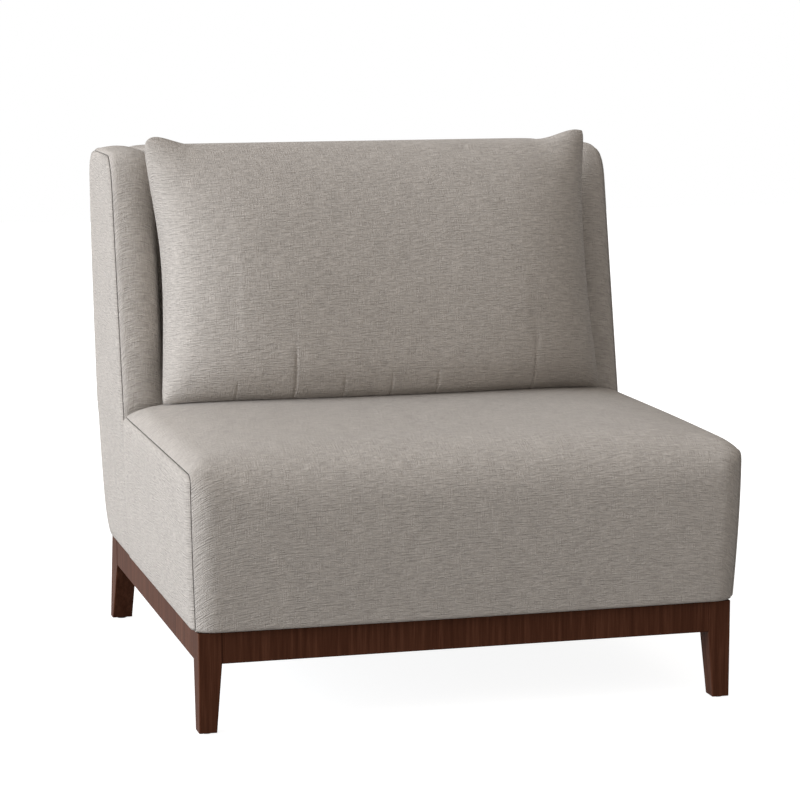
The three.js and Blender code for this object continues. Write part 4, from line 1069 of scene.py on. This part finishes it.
def make_outside_back():
    line = spaced_out(back_edge, 400)
    length = float(np.linalg.norm(np.diff(line, axis=0), axis=1).sum())
    marks = edge_shares(length, BACK_PANEL_ROWS)
    at = np.linspace(0, 1, len(line))
    path = np.stack([np.interp(marks, at, line[:, k]) for k in (0, 1)], 1)
    along = np.gradient(path, axis=0)
    along /= np.linalg.norm(along, axis=1)[:, None]
    outward = np.stack([-along[:, 1], along[:, 0]], 1)
    shares = 2 * edge_shares(2 * LEG_FACE, BACK_PANEL_COLUMNS) - 1
    half = (wing_edge(path[:, 0], path[:, 1]) - CLEAR)[:, None]
    above_foot = smooth((path[:, 1] - FOOT) / BACK_FOOT_FADE)
    between = above_foot * smooth((WING_TOP - path[:, 1]) / BACK_TOP_FADE)
    swell = BACK_PANEL_CROWN * between[:, None] * (1 - np.abs(shares[None, :]) ** 4)
    from_side = half * (1 - np.abs(shares[None, :]))
    from_end = (np.minimum(marks, 1 - marks) * length)[:, None]
    from_seam = np.minimum(from_side, from_end)
    reach = swell + shoulder(0, BACK_PANEL_SHOULDER) - panel_fall(from_seam, BACK_PANEL_SHOULDER)
    depth = path[:, :1] + outward[:, :1] * reach
    z = path[:, 1:] + outward[:, 1:] * reach
    piece = lay_grid("outside_back_panel", half * shares[None, :], depth, z)
    # Painted shade along the panel's sewn edges.
    keep_values(piece, seam=painted_seam_shade(from_seam))
    face_towards(piece, (0, 1, 0))
    thicken(piece, BACK_PANEL_THICKNESS)
    return piece


outside_back = make_outside_back()
dress(outside_back, UPHOLSTERY, ["outside_back_cover"])

# %% [markdown]
# ## The loose pillow
#
# The pillow is two panels sewn together round their edge, with no boxing. It stands on the
# seat and leans against the inside back: its underside is pressed flat, its front is full low
# down and slims towards the top seam, and its top corners stand up as ears. Both panels share
# one seam. A profile down the middle says how far each panel swells from the seam's own curve.

# %% Seam of the pillow
PILLOW_HALF = LEG_FACE - 0.041
PILLOW_LEFT_RUN = (-0.052, 0.057)
PILLOW_RIGHT_RUN = (-0.078, 0.083)
PILLOW_TOP = 0.847
PILLOW_EAR = 0.0175
PILLOW_EAR_START = 0.77
PILLOW_EAR_WIDTH = 0.2
PILLOW_ROUNDNESS = 20
PILLOW_TOP_PULL = (0.033, 0.018)
PILLOW_FOOT_PULL = 0.008
PILLOW_DRIFT = -0.008
PILLOW_LEFT_BACK = 0.052
PILLOW_LEFT_IN = (0.19, 0.27)
PILLOW_SEAM_LOW = (0.508, 0.421)
PILLOW_SEAM_RUN = (0.1519, -0.0539)
PILLOW_SEAM_HEIGHT = 0.44
PILLOW_FRONT_PROFILE = (
    (0.44, 0.4345),
    (0.424, 0.452),
    (0.4145, 0.49),
    (0.422, 0.55),
    (0.441, 0.64),
    (0.475, 0.73),
    (0.519, 0.8),
    (0.563, 0.838),
    (0.59, PILLOW_TOP),
)
PILLOW_BACK_PROFILE = (
    (0.44, 0.4345),
    (0.45, 0.434),
    (0.52, 0.434),
    (0.594, 0.4345),
    (0.622, 0.452),
    (0.634, 0.49),
    (0.65, 0.56),
    (0.668, 0.65),
    (0.683, 0.74),
    (0.676, 0.8),
    (0.64, 0.838),
    (0.59, PILLOW_TOP),
)


def pillow_seam_depth(z):
    share = (z - PILLOW_SEAM_LOW[1]) / PILLOW_SEAM_HEIGHT
    return PILLOW_SEAM_LOW[0] + PILLOW_SEAM_RUN[0] * share + PILLOW_SEAM_RUN[1] * share**2


def seat_height(x):
    """Height of the seat's crown under the pillow."""
    crown, crown_behind = (crown_at(x / SEAT_HALF, power) for power in SEAT_CROWN_POWERS)
    return SEAM_HEIGHT + SEAT_CROWN * lerp(crown, crown_behind, 0.6)


def pillow_seam(across, up):
    """x, depth and height of the sheet that the pillow's seam spans, at shares across and up."""
    side, end = np.abs(across), 2 * up - 1
    corner = side**PILLOW_ROUNDNESS * np.abs(end) ** PILLOW_ROUNDNESS
    top_pull = np.where(across < 0, *PILLOW_TOP_PULL)
    pulled = 1 - np.where(end > 0, top_pull, PILLOW_FOOT_PULL) * corner
    runs = [np.where(across < 0, *pair) for pair in zip(PILLOW_LEFT_RUN, PILLOW_RIGHT_RUN)]
    x = across * pulled * (PILLOW_HALF + runs[0] * up + runs[1] * up**2)
    low = seat_height(across * PILLOW_HALF) + PILLOW_FRONT_PROFILE[0][1] - SEAT_TOP
    z = lerp(low, PILLOW_TOP, 0.5 + end / 2 * pulled)
    z = z + PILLOW_EAR * smooth((side - PILLOW_EAR_START) / PILLOW_EAR_WIDTH) * up**6
    bow = PILLOW_FRONT_PROFILE[0][0] - pillow_seam_depth(PILLOW_FRONT_PROFILE[0][1])
    at_foot = bow * (1 - np.abs(across) ** 2.5) * (1 - up) ** 6
    at_head = (PILLOW_FRONT_PROFILE[-1][0] - pillow_seam_depth(PILLOW_TOP)) * up**6
    between_wings = smooth((0.9 - up) / 0.35) * smooth(up / 0.3) * smooth((0.3 - across) / 0.6)
    back = PILLOW_LEFT_BACK * between_wings * (1 - (1 - side**40) ** 0.5)
    inwards = lerp(*PILLOW_LEFT_IN, smooth((up - 0.15) / 0.45))
    x = x + PILLOW_DRIFT * up**3 + inwards * back
    return x, pillow_seam_depth(z) + at_foot + at_head + back, z


print("the pillow's seam is", round(2 * PILLOW_HALF, 3), "m wide at its foot")

# %% [markdown]
# Each panel is a grid over the seam's sheet, pushed out to its profile in the middle and less
# towards the sides. The columns stand closer together at the puckers, and the rows at the zip.
# Each pucker is given by its place across, the height of its top and its depth.

# %% Pillow panels
PILLOW_ROWS = 64
PILLOW_COLUMNS = 75
PROFILE_POINTS = 400
UNDERSIDE_POINTS = 120
PUCKERS = (
    (-0.2685, 0.475, 0.0011),
    (-0.174, 0.546, 0.0018),
    (-0.0915, 0.482, 0.0013),
    (-0.011, 0.482, 0.0015),
    (0.0684, 0.487, 0.0016),
    (0.241, 0.557, 0.0024),
)
ZIP_DEPTH = 0.51
zip_low, zip_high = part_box("zip_tape")
ZIP_CHANNEL = ((0.0055, 0), (0.0035, 0.4), (0.002, 1), (-0.002, 1), (-0.0035, 0.4), (-0.0055, 0))
ZIP_CHANNEL_TOP = zip_high.z + CLEAR
PUCKER_COLUMNS = (-0.011, -0.0055, 0, 0.0055, 0.011)


def pillow_columns():
    """Shares across the pillow, closer together at the seams and at each pucker."""
    shares = list(np.sin(np.linspace(-math.pi / 2, math.pi / 2, PILLOW_COLUMNS)))
    for x, _, _ in PUCKERS:
        shares += [x / PILLOW_HALF + offset for offset in PUCKER_COLUMNS]
    shares = sorted(shares)
    kept = [shares[0]]
    for share in shares[1:-1]:
        if share - kept[-1] > 0.0035:
            kept.append(share)
    return np.array([*kept, shares[-1]])


def pillow_rows():
    """Shares up both panels, closer together at the seams and where the back's zip lies."""
    rise = (1 - np.cos(np.linspace(0, math.pi, PILLOW_ROWS))) / 2
    rows = list(lerp(rise, np.linspace(0, 1, PILLOW_ROWS), 0.45))
    underside = through(PILLOW_BACK_PROFILE, PROFILE_POINTS)[:UNDERSIDE_POINTS]
    shares = np.linspace(0, 1, PROFILE_POINTS)[:UNDERSIDE_POINTS]
    near_zip = [ZIP_DEPTH - offset for offset, _ in ZIP_CHANNEL]
    zip_rows = np.interp(near_zip, underside[:, 0], shares)
    rows = [row for row in rows if np.abs(zip_rows - row).min() > 0.003]
    return np.array(sorted([*rows, *zip_rows]))


def pillow_panel(name, profile, fullness):
    across = pillow_columns()[None, :]
    up = pillow_rows()[:, None]
    middle = through(profile, PROFILE_POINTS)
    at = np.linspace(0, 1, PROFILE_POINTS)
    x, depth, z = pillow_seam(across, up)
    _, seam_depth, seam_z = pillow_seam(0 * up, up)
    swell = fullness(np.abs(across))
    depth = depth + (np.interp(up, at, middle[:, 0]) - seam_depth) * swell
    z = z + (np.interp(up, at, middle[:, 1]) - seam_z) * swell
    piece = lay_grid(name, x, depth, z)
    at_border = np.ones(x.shape)
    at_border[1:-1, 1:-1] = 0
    keep_values(piece, seam=0, border=at_border.reshape(-1))
    return piece


def front_fullness(side):
    """A slow fall to the sides, and a steep one where the filling turns round to the seam."""
    return 0.8 * (1 - side**5) ** 0.5 + 0.2 * (1 - side**40) ** 0.5


def back_fullness(side):
    """One even fall from the middle to the sides, because the back lies against the pad."""
    return (1 - side**2.6) ** 0.8


def make_pillow():
    front = pillow_panel("pillow", PILLOW_FRONT_PROFILE, front_fullness)
    back = pillow_panel("pillow_back", PILLOW_BACK_PROFILE, back_fullness)
    select_only(front)
    back.select_set(True)
    bpy.ops.object.join()
    close_up(front)
    return front


PILLOW_PRESSURE = 4
PILLOW_SWELL = 0.003
PILLOW_REST = 0.004
pillow = make_pillow()
places = places_of(pillow)
depth = places[:, 1] - LEG_FRONT
on_seat = (places[:, 2] < SEAT_TOP + PILLOW_REST) & (depth > PILLOW_FRONT_PROFILE[0][0])
against_back = depth > inner_back(places[:, 2]) - PILLOW_REST
sewn = values_of(pillow, "border") > 0.5
stuff(pillow, sewn | on_seat | against_back, PILLOW_PRESSURE, PILLOW_SWELL)
refine(pillow)

# %% [markdown]
# Where the foot of the pillow is sewn, the cloth draws in a few short upright puckers, and
# underneath, a zip lies in a narrow channel. Both are pressed into the stuffed shape.


# %% Puckers and the zip's channel
PUCKER_WIDTH = 0.0019


def press_details(piece):
    """Presses the puckers into the pillow's front and the zip's channel into its underside."""
    places = places_of(piece)
    depth = places[:, 1] - LEG_FRONT
    in_front = depth < pillow_seam_depth(places[:, 2]) - 0.01
    for x, top, deep in PUCKERS:
        across = np.exp(-(((places[:, 0] - x) / PUCKER_WIDTH) ** 2))
        fade = smooth((top - places[:, 2]) / (0.45 * (top - SEAT_TOP)))
        places[:, 1] += deep * across * fade * in_front
    under = (places[:, 2] < SEAT_TOP + 0.003) & (np.abs(depth - ZIP_DEPTH) < 0.006)
    offsets = [offset for offset, _ in reversed(ZIP_CHANNEL)]
    heights = [height for _, height in reversed(ZIP_CHANNEL)]
    channel = np.interp(depth - ZIP_DEPTH, offsets, heights)
    channel *= smooth((zip_high.x + 0.004 - np.abs(places[:, 0])) / 0.003) * under
    places[:, 2] = lerp(places[:, 2], np.maximum(places[:, 2], ZIP_CHANNEL_TOP), channel)
    move_to(piece, places)


press_details(pillow)
dress(
    pillow,
    UPHOLSTERY,
    ["pillow_front_cover", "pillow_back_cover", "pillow_core"],
    body="pillow",
)

# %% [markdown]
# ## Wood
#
# The base is stained a dark walnut brown. Its grain stands upright on the legs and on the
# veneered rails alike. The grain group only puts out a broad figure and a fine fibre, so the
# same group serves the bare timber inside, with other colours.


# %% Wood grain as a node group
GRAIN_FIGURE = (140, 140, 6)
GRAIN_FIBRE = (620, 620, 18)


def make_wood_grain():
    group, given, result = new_group(
        "wood grain",
        [("Place", "NodeSocketVector")],
        [("Figure", "NodeSocketFloat"), ("Fibre", "NodeSocketFloat")],
    )
    place = given.outputs["Place"]
    figure = add_noise(group, stretched(group, place, GRAIN_FIGURE), 1.0, 3.0, 0.55)
    fibre = add_noise(group, stretched(group, place, GRAIN_FIBRE), 1.0, 3.0, 0.6)
    group.links.new(figure, result.inputs["Figure"])
    group.links.new(fibre, result.inputs["Fibre"])
    return group


WOOD_GRAIN = make_wood_grain()


def make_wood(name, stops, roughness, turn=(0, 0, 0), fibre=0.35, specular=0.3):
    """Wood with its grain along z, or turned to another axis."""
    material, tree, shader = new_material(name, roughness, Specular_IOR_Level=specular)
    object_place = tree.nodes.new("ShaderNodeTexCoord").outputs["Object"]
    mapping = tree.nodes.new("ShaderNodeMapping")
    mapping.inputs["Rotation"].default_value = turn
    tree.links.new(object_place, mapping.inputs["Vector"])
    grain = place_group(tree, WOOD_GRAIN)
    tree.links.new(mapping.outputs["Vector"], grain.inputs["Place"])
    fine = add_math(tree, "MULTIPLY", grain.outputs["Fibre"], fibre)
    broad = add_math(tree, "MULTIPLY", grain.outputs["Figure"], 1 - fibre)
    mixed = add_math(tree, "ADD", fine, broad)
    tree.links.new(ramp(tree, mixed, *stops), shader.inputs["Base Color"])
    add_bump(tree, shader, grain.outputs["Fibre"], 0.0002, 0.3)
    return material


UPRIGHT_TO_X = (0, math.pi / 2, 0)
UPRIGHT_TO_Y = (math.pi / 2, 0, 0)
WALNUT_STOPS = (
    (0.38, (0.05, 0.0175, 0.0095)),
    (0.5, (0.066, 0.024, 0.013)),
    (0.64, (0.093, 0.036, 0.0205)),
)
POPLAR_STOPS = (
    (0.35, (0.4, 0.28, 0.17)),
    (0.52, (0.52, 0.39, 0.26)),
    (0.7, (0.62, 0.49, 0.34)),
)
WALNUT = make_wood("walnut_stain", WALNUT_STOPS, 0.5, specular=0.02)
TIMBER_X = make_wood("timber_grain_across", POPLAR_STOPS, 0.7, turn=UPRIGHT_TO_X)
TIMBER_Y = make_wood("timber_grain_along", POPLAR_STOPS, 0.7, turn=UPRIGHT_TO_Y)
print("woods", WALNUT.name, TIMBER_X.name, TIMBER_Y.name)

# %% [markdown]
# ## Metal, plastic, felt and woven stuff
#
# Small even parts need no pattern, only a fine speckle so that they don't look like paint.
# Woven stuff is two sine waves multiplied, one along each thread, which puts a bump at each
# crossing and turns every second one over.


# %% Other finishes
def make_speckled(name, dark, light, roughness, scale, bump, metallic=0.0):
    """A finish with a fine speckle, for metal, plastic, felt and other even stuff."""
    material, tree, shader = new_material(name, roughness, Metallic=metallic)
    place = tree.nodes.new("ShaderNodeTexCoord").outputs["Object"]
    speckle = add_noise(tree, place, scale, 3.0, 0.6)
    tree.links.new(ramp(tree, speckle, (0.35, dark), (0.65, light)), shader.inputs["Base Color"])
    add_bump(tree, shader, speckle, bump, 0.5)
    return material


SPRING_GREYS = ((0.2, 0.2, 0.21), (0.36, 0.36, 0.38))
SCREW_GREYS = ((0.42, 0.42, 0.44), (0.6, 0.6, 0.62))
NICKEL_GREYS = ((0.5, 0.48, 0.45), (0.66, 0.64, 0.61))
PLASTIC_BLACKS = ((0.012, 0.012, 0.012), (0.03, 0.03, 0.03))
FELT_GREYS = ((0.1, 0.1, 0.1), (0.3, 0.29, 0.28))
SPRING_STEEL = make_speckled("spring_steel", *SPRING_GREYS, 0.35, 900, 0.0001, 1.0)
SCREW_STEEL = make_speckled("zinc_screw", *SCREW_GREYS, 0.3, 1400, 0.0001, 1.0)
NICKEL = make_speckled("nickel_slider", *NICKEL_GREYS, 0.25, 2000, 0.00005, 1.0)
GLIDE_PLASTIC = make_speckled("glide_plastic", *PLASTIC_BLACKS, 0.55, 1200, 0.0001)
FELT = make_speckled("needled_felt", *FELT_GREYS, 0.95, 420, 0.0008)


def make_woven(name, dark, light, pitch, roughness, bump):
    """Plain woven stuff: two crossed waves on the cloth map, over and under."""
    material, tree, shader = new_material(name, roughness)
    cloth = tree.nodes.new("ShaderNodeUVMap")
    cloth.uv_map = "cloth"
    split = tree.nodes.new("ShaderNodeSeparateXYZ")
    tree.links.new(cloth.outputs["UV"], split.inputs[0])
    turns = 2 * math.pi / pitch
    phases = [add_math(tree, "MULTIPLY", split.outputs[k], turns) for k in (0, 1)]
    waves = [add_math(tree, "SINE", phase) for phase in phases]
    crossed = add_math(tree, "MULTIPLY", *waves)
    height = add_math(tree, "MULTIPLY_ADD", crossed, 0.5, 0.5)
    tree.links.new(ramp(tree, height, (0.1, dark), (0.9, light)), shader.inputs["Base Color"])
    add_bump(tree, shader, height, bump, 0.6)
    return material


JUTE_BROWNS = ((0.2, 0.14, 0.08), (0.44, 0.34, 0.22))
CAMBRIC_BLACKS = ((0.008, 0.008, 0.009), (0.03, 0.03, 0.032))
ZIP_BLACKS = ((0.01, 0.01, 0.01), (0.035, 0.034, 0.033))
WEBBING = make_woven("jute_webbing", *JUTE_BROWNS, 0.003, 0.9, 0.0006)
CAMBRIC = make_woven("black_cambric", *CAMBRIC_BLACKS, 0.0016, 0.9, 0.0002)
ZIP_CLOTH = make_woven("zip_cloth", *ZIP_BLACKS, 0.0008, 0.85, 0.0001)
print("materials so far", len(bpy.data.materials))

# %% [markdown]
# The base, the frame inside, the springs, the screws and the slider are the model's own solids.
# They keep their shapes, and each only gets the material that the real piece is made of.


# %% Finishes on the frame's own pieces
def finish(material, *names):
    for name in names:
        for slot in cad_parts[name].material_slots:
            slot.material = material


SIDES = ("right", "left")
CORNERS = [end + "_" + side for end in ("front", "rear") for side in SIDES]
finish(WALNUT, "front_rail", "rear_rail", "right_rail", "left_rail")
finish(WALNUT, *[corner + "_leg" for corner in CORNERS])
finish(TIMBER_X, *[corner + "_corner_block" for corner in CORNERS])
finish(SCREW_STEEL, *[corner + "_frame_screw" for corner in CORNERS])
finish(GLIDE_PLASTIC, *[corner + "_glide" for corner in CORNERS])
finish(TIMBER_X, "front_seat_rail", "rear_seat_rail", "top_back_rail", "low_back_rail")
finish(TIMBER_Y, "right_seat_rail", "left_seat_rail", "right_wing_frame", "left_wing_frame")
finish(SPRING_STEEL, "stay_wire", *["seat_spring_" + str(i + 1) for i in range(5)])
finish(NICKEL, "zip_slider")
print("the base's corners are", CORNERS)

# %% [markdown]
# ## What the covers hide
#
# Jute webbing carries the inside back, a felt lies on the springs, and a thin black cloth
# closes the seat from below. They are plain, but they are there when the chair is turned over
# or its pillow is lifted, so each is a woven or felted sheet of its real size.

# %% Webbing
BACK_ANGLE = math.atan(BACK_RAKE)
WEBBING_THICKNESS = 0.0014
WEBBING_BULGE = 0.0001
WEBBING_MARGIN = 0.0006


def make_webbing(number):
    low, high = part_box("back_webbing_" + str(number))
    middle = (low + high) / 2
    width = (high.z - low.z) / math.cos(BACK_ANGLE) - WEBBING_MARGIN
    along = np.linspace(-1, 1, 90)[None, :] * (high.x - low.x) / 2
    across = edge_shares(width, 10)[:, None] - 0.5
    bulge = WEBBING_BULGE * np.cos(across * math.pi)
    raked = middle.y - LEG_FRONT + across * width * math.sin(BACK_ANGLE)
    depth = raked - WEBBING_THICKNESS / 2 - bulge
    z = middle.z + across * width * math.cos(BACK_ANGLE)
    strap = lay_grid("webbing_" + str(number), along, depth, z)
    face_towards(strap, (0, -1, 0))
    thicken(strap, WEBBING_THICKNESS)
    dress(strap, WEBBING, ["back_webbing_" + str(number)])


for number in (1, 2, 3):
    make_webbing(number)

# %% [markdown]
# The felt lies on the springs as they rise and fall from front to back. Its line is read from
# the top of the model's own felt, and its flat length is that line's length.

# %% Felt on the springs
FELT_THICKNESS = 0.004


def make_felt():
    corners = [vertex.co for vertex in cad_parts["deck_felt"].data.vertices]
    tops = sorted({(round(v.y, 5), round(v.z, 5)) for v in corners})
    stations = sorted({y for y, _ in tops})
    crest = [max(z for y, z in tops if y == station) for station in stations]
    x = np.linspace(deck_low.x, deck_high.x, 60)[None, :]
    y = np.linspace(deck_low.y, deck_high.y, 60)[:, None]
    z = np.interp(y, stations, crest)
    felt = lay_grid("deck_felt_sheet", x, y - LEG_FRONT, z)
    face_towards(felt, (0, 0, 1))
    thicken(felt, FELT_THICKNESS - CLEAR)
    dress(felt, FELT, ["deck_felt"])


make_felt()

# %% [markdown]
# The dust cover is stapled all round under the rails. It hangs down a few millimetres in the
# middle, and its sag falls off to nothing at the rails.

# %% Dust cover
DUST_SAG = 0.004
DUST_HELD_SIDE = 0.012
DUST_HELD_END = 0.03


def make_dust_cover():
    low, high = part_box("dust_cover")
    x = lerp(low.x, high.x, edge_shares(high.x - low.x, 70))[None, :]
    y = lerp(low.y, high.y, edge_shares(high.y - low.y, 60))[:, None]
    open_x = np.clip(1 - (x / (rail_high.x - DUST_HELD_SIDE)) ** 2, 0, 1)
    middle, reach = (low.y + high.y) / 2, (high.y - low.y) / 2
    open_y = np.clip(1 - ((y - middle) / (reach - DUST_HELD_END)) ** 2, 0, 1)
    z = high.z - DUST_SAG * open_x * open_y
    sheet = lay_grid("dust_cover_sheet", x, y - LEG_FRONT, z)
    face_towards(sheet, (0, 0, -1))
    thicken(sheet, -(high.z - low.z))
    dress(sheet, CAMBRIC, ["dust_cover"])


make_dust_cover()

# %% [markdown]
# ## The zip
#
# When a zip is closed, its two tapes lie as one strip with a row of teeth, so the tape here is
# one strip. One tooth is modelled, and an array repeats it along the tape. The slider is the
# frame's own piece, because it moves.

# %% Zip
TOOTH_PITCH = 0.003
TOOTH = (0.0016, 0.0011, 0.0018)
TOOTH_ROUNDING = 0.0003
TAPE_THICKNESS = 0.0008


def make_zip(low, high):
    x = np.linspace(low.x, high.x, 120)[None, :]
    z = lerp(low.z + TOOTH[2] / 2, high.z, np.linspace(0, 1, 5))[:, None]
    tape = lay_grid("zip_tape_cloth", x, high.y - LEG_FRONT - 0.0002 + 0 * z, z)
    face_towards(tape, (0, 1, 0))
    thicken(tape, TAPE_THICKNESS)
    dress(tape, ZIP_CLOTH, ["zip_tape"], body="pillow")
    bpy.ops.object.select_all(action="DESELECT")
    place = (low.x + TOOTH_PITCH / 2, (low.y + high.y) / 2, low.z + TOOTH[2] / 2)
    bpy.ops.mesh.primitive_cube_add(size=1, location=place, scale=TOOTH)
    bpy.ops.object.transform_apply(location=True, rotation=False, scale=True)
    teeth = bpy.context.object
    teeth.name = "zip_teeth"
    bevel = teeth.modifiers.new("rounding", "BEVEL")
    bevel.width = TOOTH_ROUNDING
    bevel.segments = 2
    repeat = teeth.modifiers.new("row", "ARRAY")
    repeat.use_relative_offset = False
    repeat.use_constant_offset = True
    repeat.constant_offset_displace = (TOOTH_PITCH, 0, 0)
    repeat.count = int((high.x - low.x) / TOOTH_PITCH)
    apply_all(teeth)
    dress(teeth, GLIDE_PLASTIC, ["zip_tape"], body="pillow")


make_zip(zip_low, zip_high)

# %% [markdown]
# ## Light, floor and camera
#
# The camera stands in front of the chair, off to the side of -X and higher than the back's top,
# with a long lens. Its place and its lens were fitted to the straight edges of the base.

# %% Camera
CAMERA_PLACE = (-1.2064, -4.437, 1.145)
CAMERA_AIM = (0.26, 0.9532, -0.1541)
camera_data = bpy.data.cameras.new("camera")
camera_data.lens = 125.96
camera_data.sensor_width = 36
camera_data.sensor_fit = "HORIZONTAL"
camera = bpy.data.objects.new("camera", camera_data)
bpy.context.collection.objects.link(camera)
camera.location = CAMERA_PLACE
camera.rotation_mode = "QUATERNION"
camera.rotation_quaternion = Vector(CAMERA_AIM).to_track_quat("-Z", "Y")
bpy.context.scene.camera = camera
print("the lens is", camera_data.lens, "mm long")

# %% [markdown]
# The picture was taken in a white studio. The shades of the chair's faces tell how: a key light
# comes from the left, and a soft light from all round is much stronger on the left than on the
# right. A sun with a wide angle stands for the first, and the world for the second.

# %% Key light
KEY_FROM = (-0.943, -0.055, 0.328)
key_data = bpy.data.lights.new("key_light", "SUN")
key_data.energy = 3.36
key_data.angle = math.radians(40)
key_data.color = (0.836, 0.909, 1.0)
key_light = bpy.data.objects.new("key_light", key_data)
bpy.context.collection.objects.link(key_light)
key_light.rotation_mode = "QUATERNION"
key_light.rotation_quaternion = Vector(KEY_FROM).to_track_quat("Z", "Y")
print("the key light's strength is", round(key_data.energy, 2))

# %% [markdown]
# The world is only white where it is seen, directly or in a reflection. The light that it casts
# is the soft light, whose strength falls from left to right with the direction's x.

# %% White surroundings
SOFT_STRENGTH = 0.78
SOFT_TO_THE_LEFT = 0.86
SOFT_COLOUR = (1, 0.942, 0.89, 1)
WHITE = (1, 1, 1, 1)


def is_seen(tree):
    """1 on rays that make the picture, and 0 on rays that carry light between surfaces."""
    rays = tree.nodes.new("ShaderNodeLightPath").outputs
    direct = add_math(tree, "MAXIMUM", rays["Is Camera Ray"], rays["Is Glossy Ray"])
    return add_math(tree, "MAXIMUM", direct, rays["Is Transmission Ray"])


def make_world(strength, to_the_left):
    """Soft light from all round, stronger from the left than from the right by that share."""
    world = bpy.data.worlds.new("studio")
    world.use_nodes = True
    tree = world.node_tree
    tree.nodes.clear()
    soft = tree.nodes.new("ShaderNodeBackground")
    direction = tree.nodes.new("ShaderNodeTexCoord").outputs["Generated"]
    parts = tree.nodes.new("ShaderNodeSeparateXYZ")
    tree.links.new(direction, parts.inputs[0])
    leftwards = add_math(tree, "MULTIPLY", parts.outputs["X"], -to_the_left * strength)
    tree.links.new(add_math(tree, "ADD", leftwards, strength), soft.inputs["Strength"])
    white = tree.nodes.new("ShaderNodeBackground")
    mix = tree.nodes.new("ShaderNodeMixShader")
    result = tree.nodes.new("ShaderNodeOutputWorld")
    soft.inputs["Color"].default_value = SOFT_COLOUR
    white.inputs["Color"].default_value = WHITE
    tree.links.new(is_seen(tree), mix.inputs["Fac"])
    tree.links.new(soft.outputs[0], mix.inputs[1])
    tree.links.new(white.outputs[0], mix.inputs[2])
    tree.links.new(mix.outputs[0], result.inputs["Surface"])
    return world


bpy.context.scene.world = make_world(SOFT_STRENGTH, SOFT_TO_THE_LEFT)
bpy.context.scene.view_settings.view_transform = "Standard"
print("the world's soft light has strength", SOFT_STRENGTH)

# %% [markdown]
# The floor is pale, and glows where the camera sees it, so that it runs into the white
# surroundings and still keeps the chair's shadow. It is not attached to the chair's body.

# %% Floor
FLOOR_SIZE = 16
FLOOR_GLOW = 0.9
FLOOR_STOPS = ((0.3, (0.35, 0.35, 0.35)), (0.7, (0.37, 0.37, 0.37)))


def make_floor():
    bpy.ops.object.select_all(action="DESELECT")
    bpy.ops.mesh.primitive_plane_add(size=FLOOR_SIZE, location=(0, 0, 0))
    floor = bpy.context.object
    floor.name = "floor"
    material, tree, shader = new_material("pale_floor", 0.9, Specular_IOR_Level=0.0)
    place = tree.nodes.new("ShaderNodeTexCoord").outputs["Object"]
    shade = add_noise(tree, place, 3.0, 2.0, 0.5)
    tree.links.new(ramp(tree, shade, *FLOOR_STOPS), shader.inputs["Base Color"])
    shader.inputs["Emission Color"].default_value = WHITE
    glow = add_math(tree, "MULTIPLY", is_seen(tree), FLOOR_GLOW)
    tree.links.new(glow, shader.inputs["Emission Strength"])
    floor.data.materials.append(material)
    print("the floor is", FLOOR_SIZE, "m wide")


make_floor()
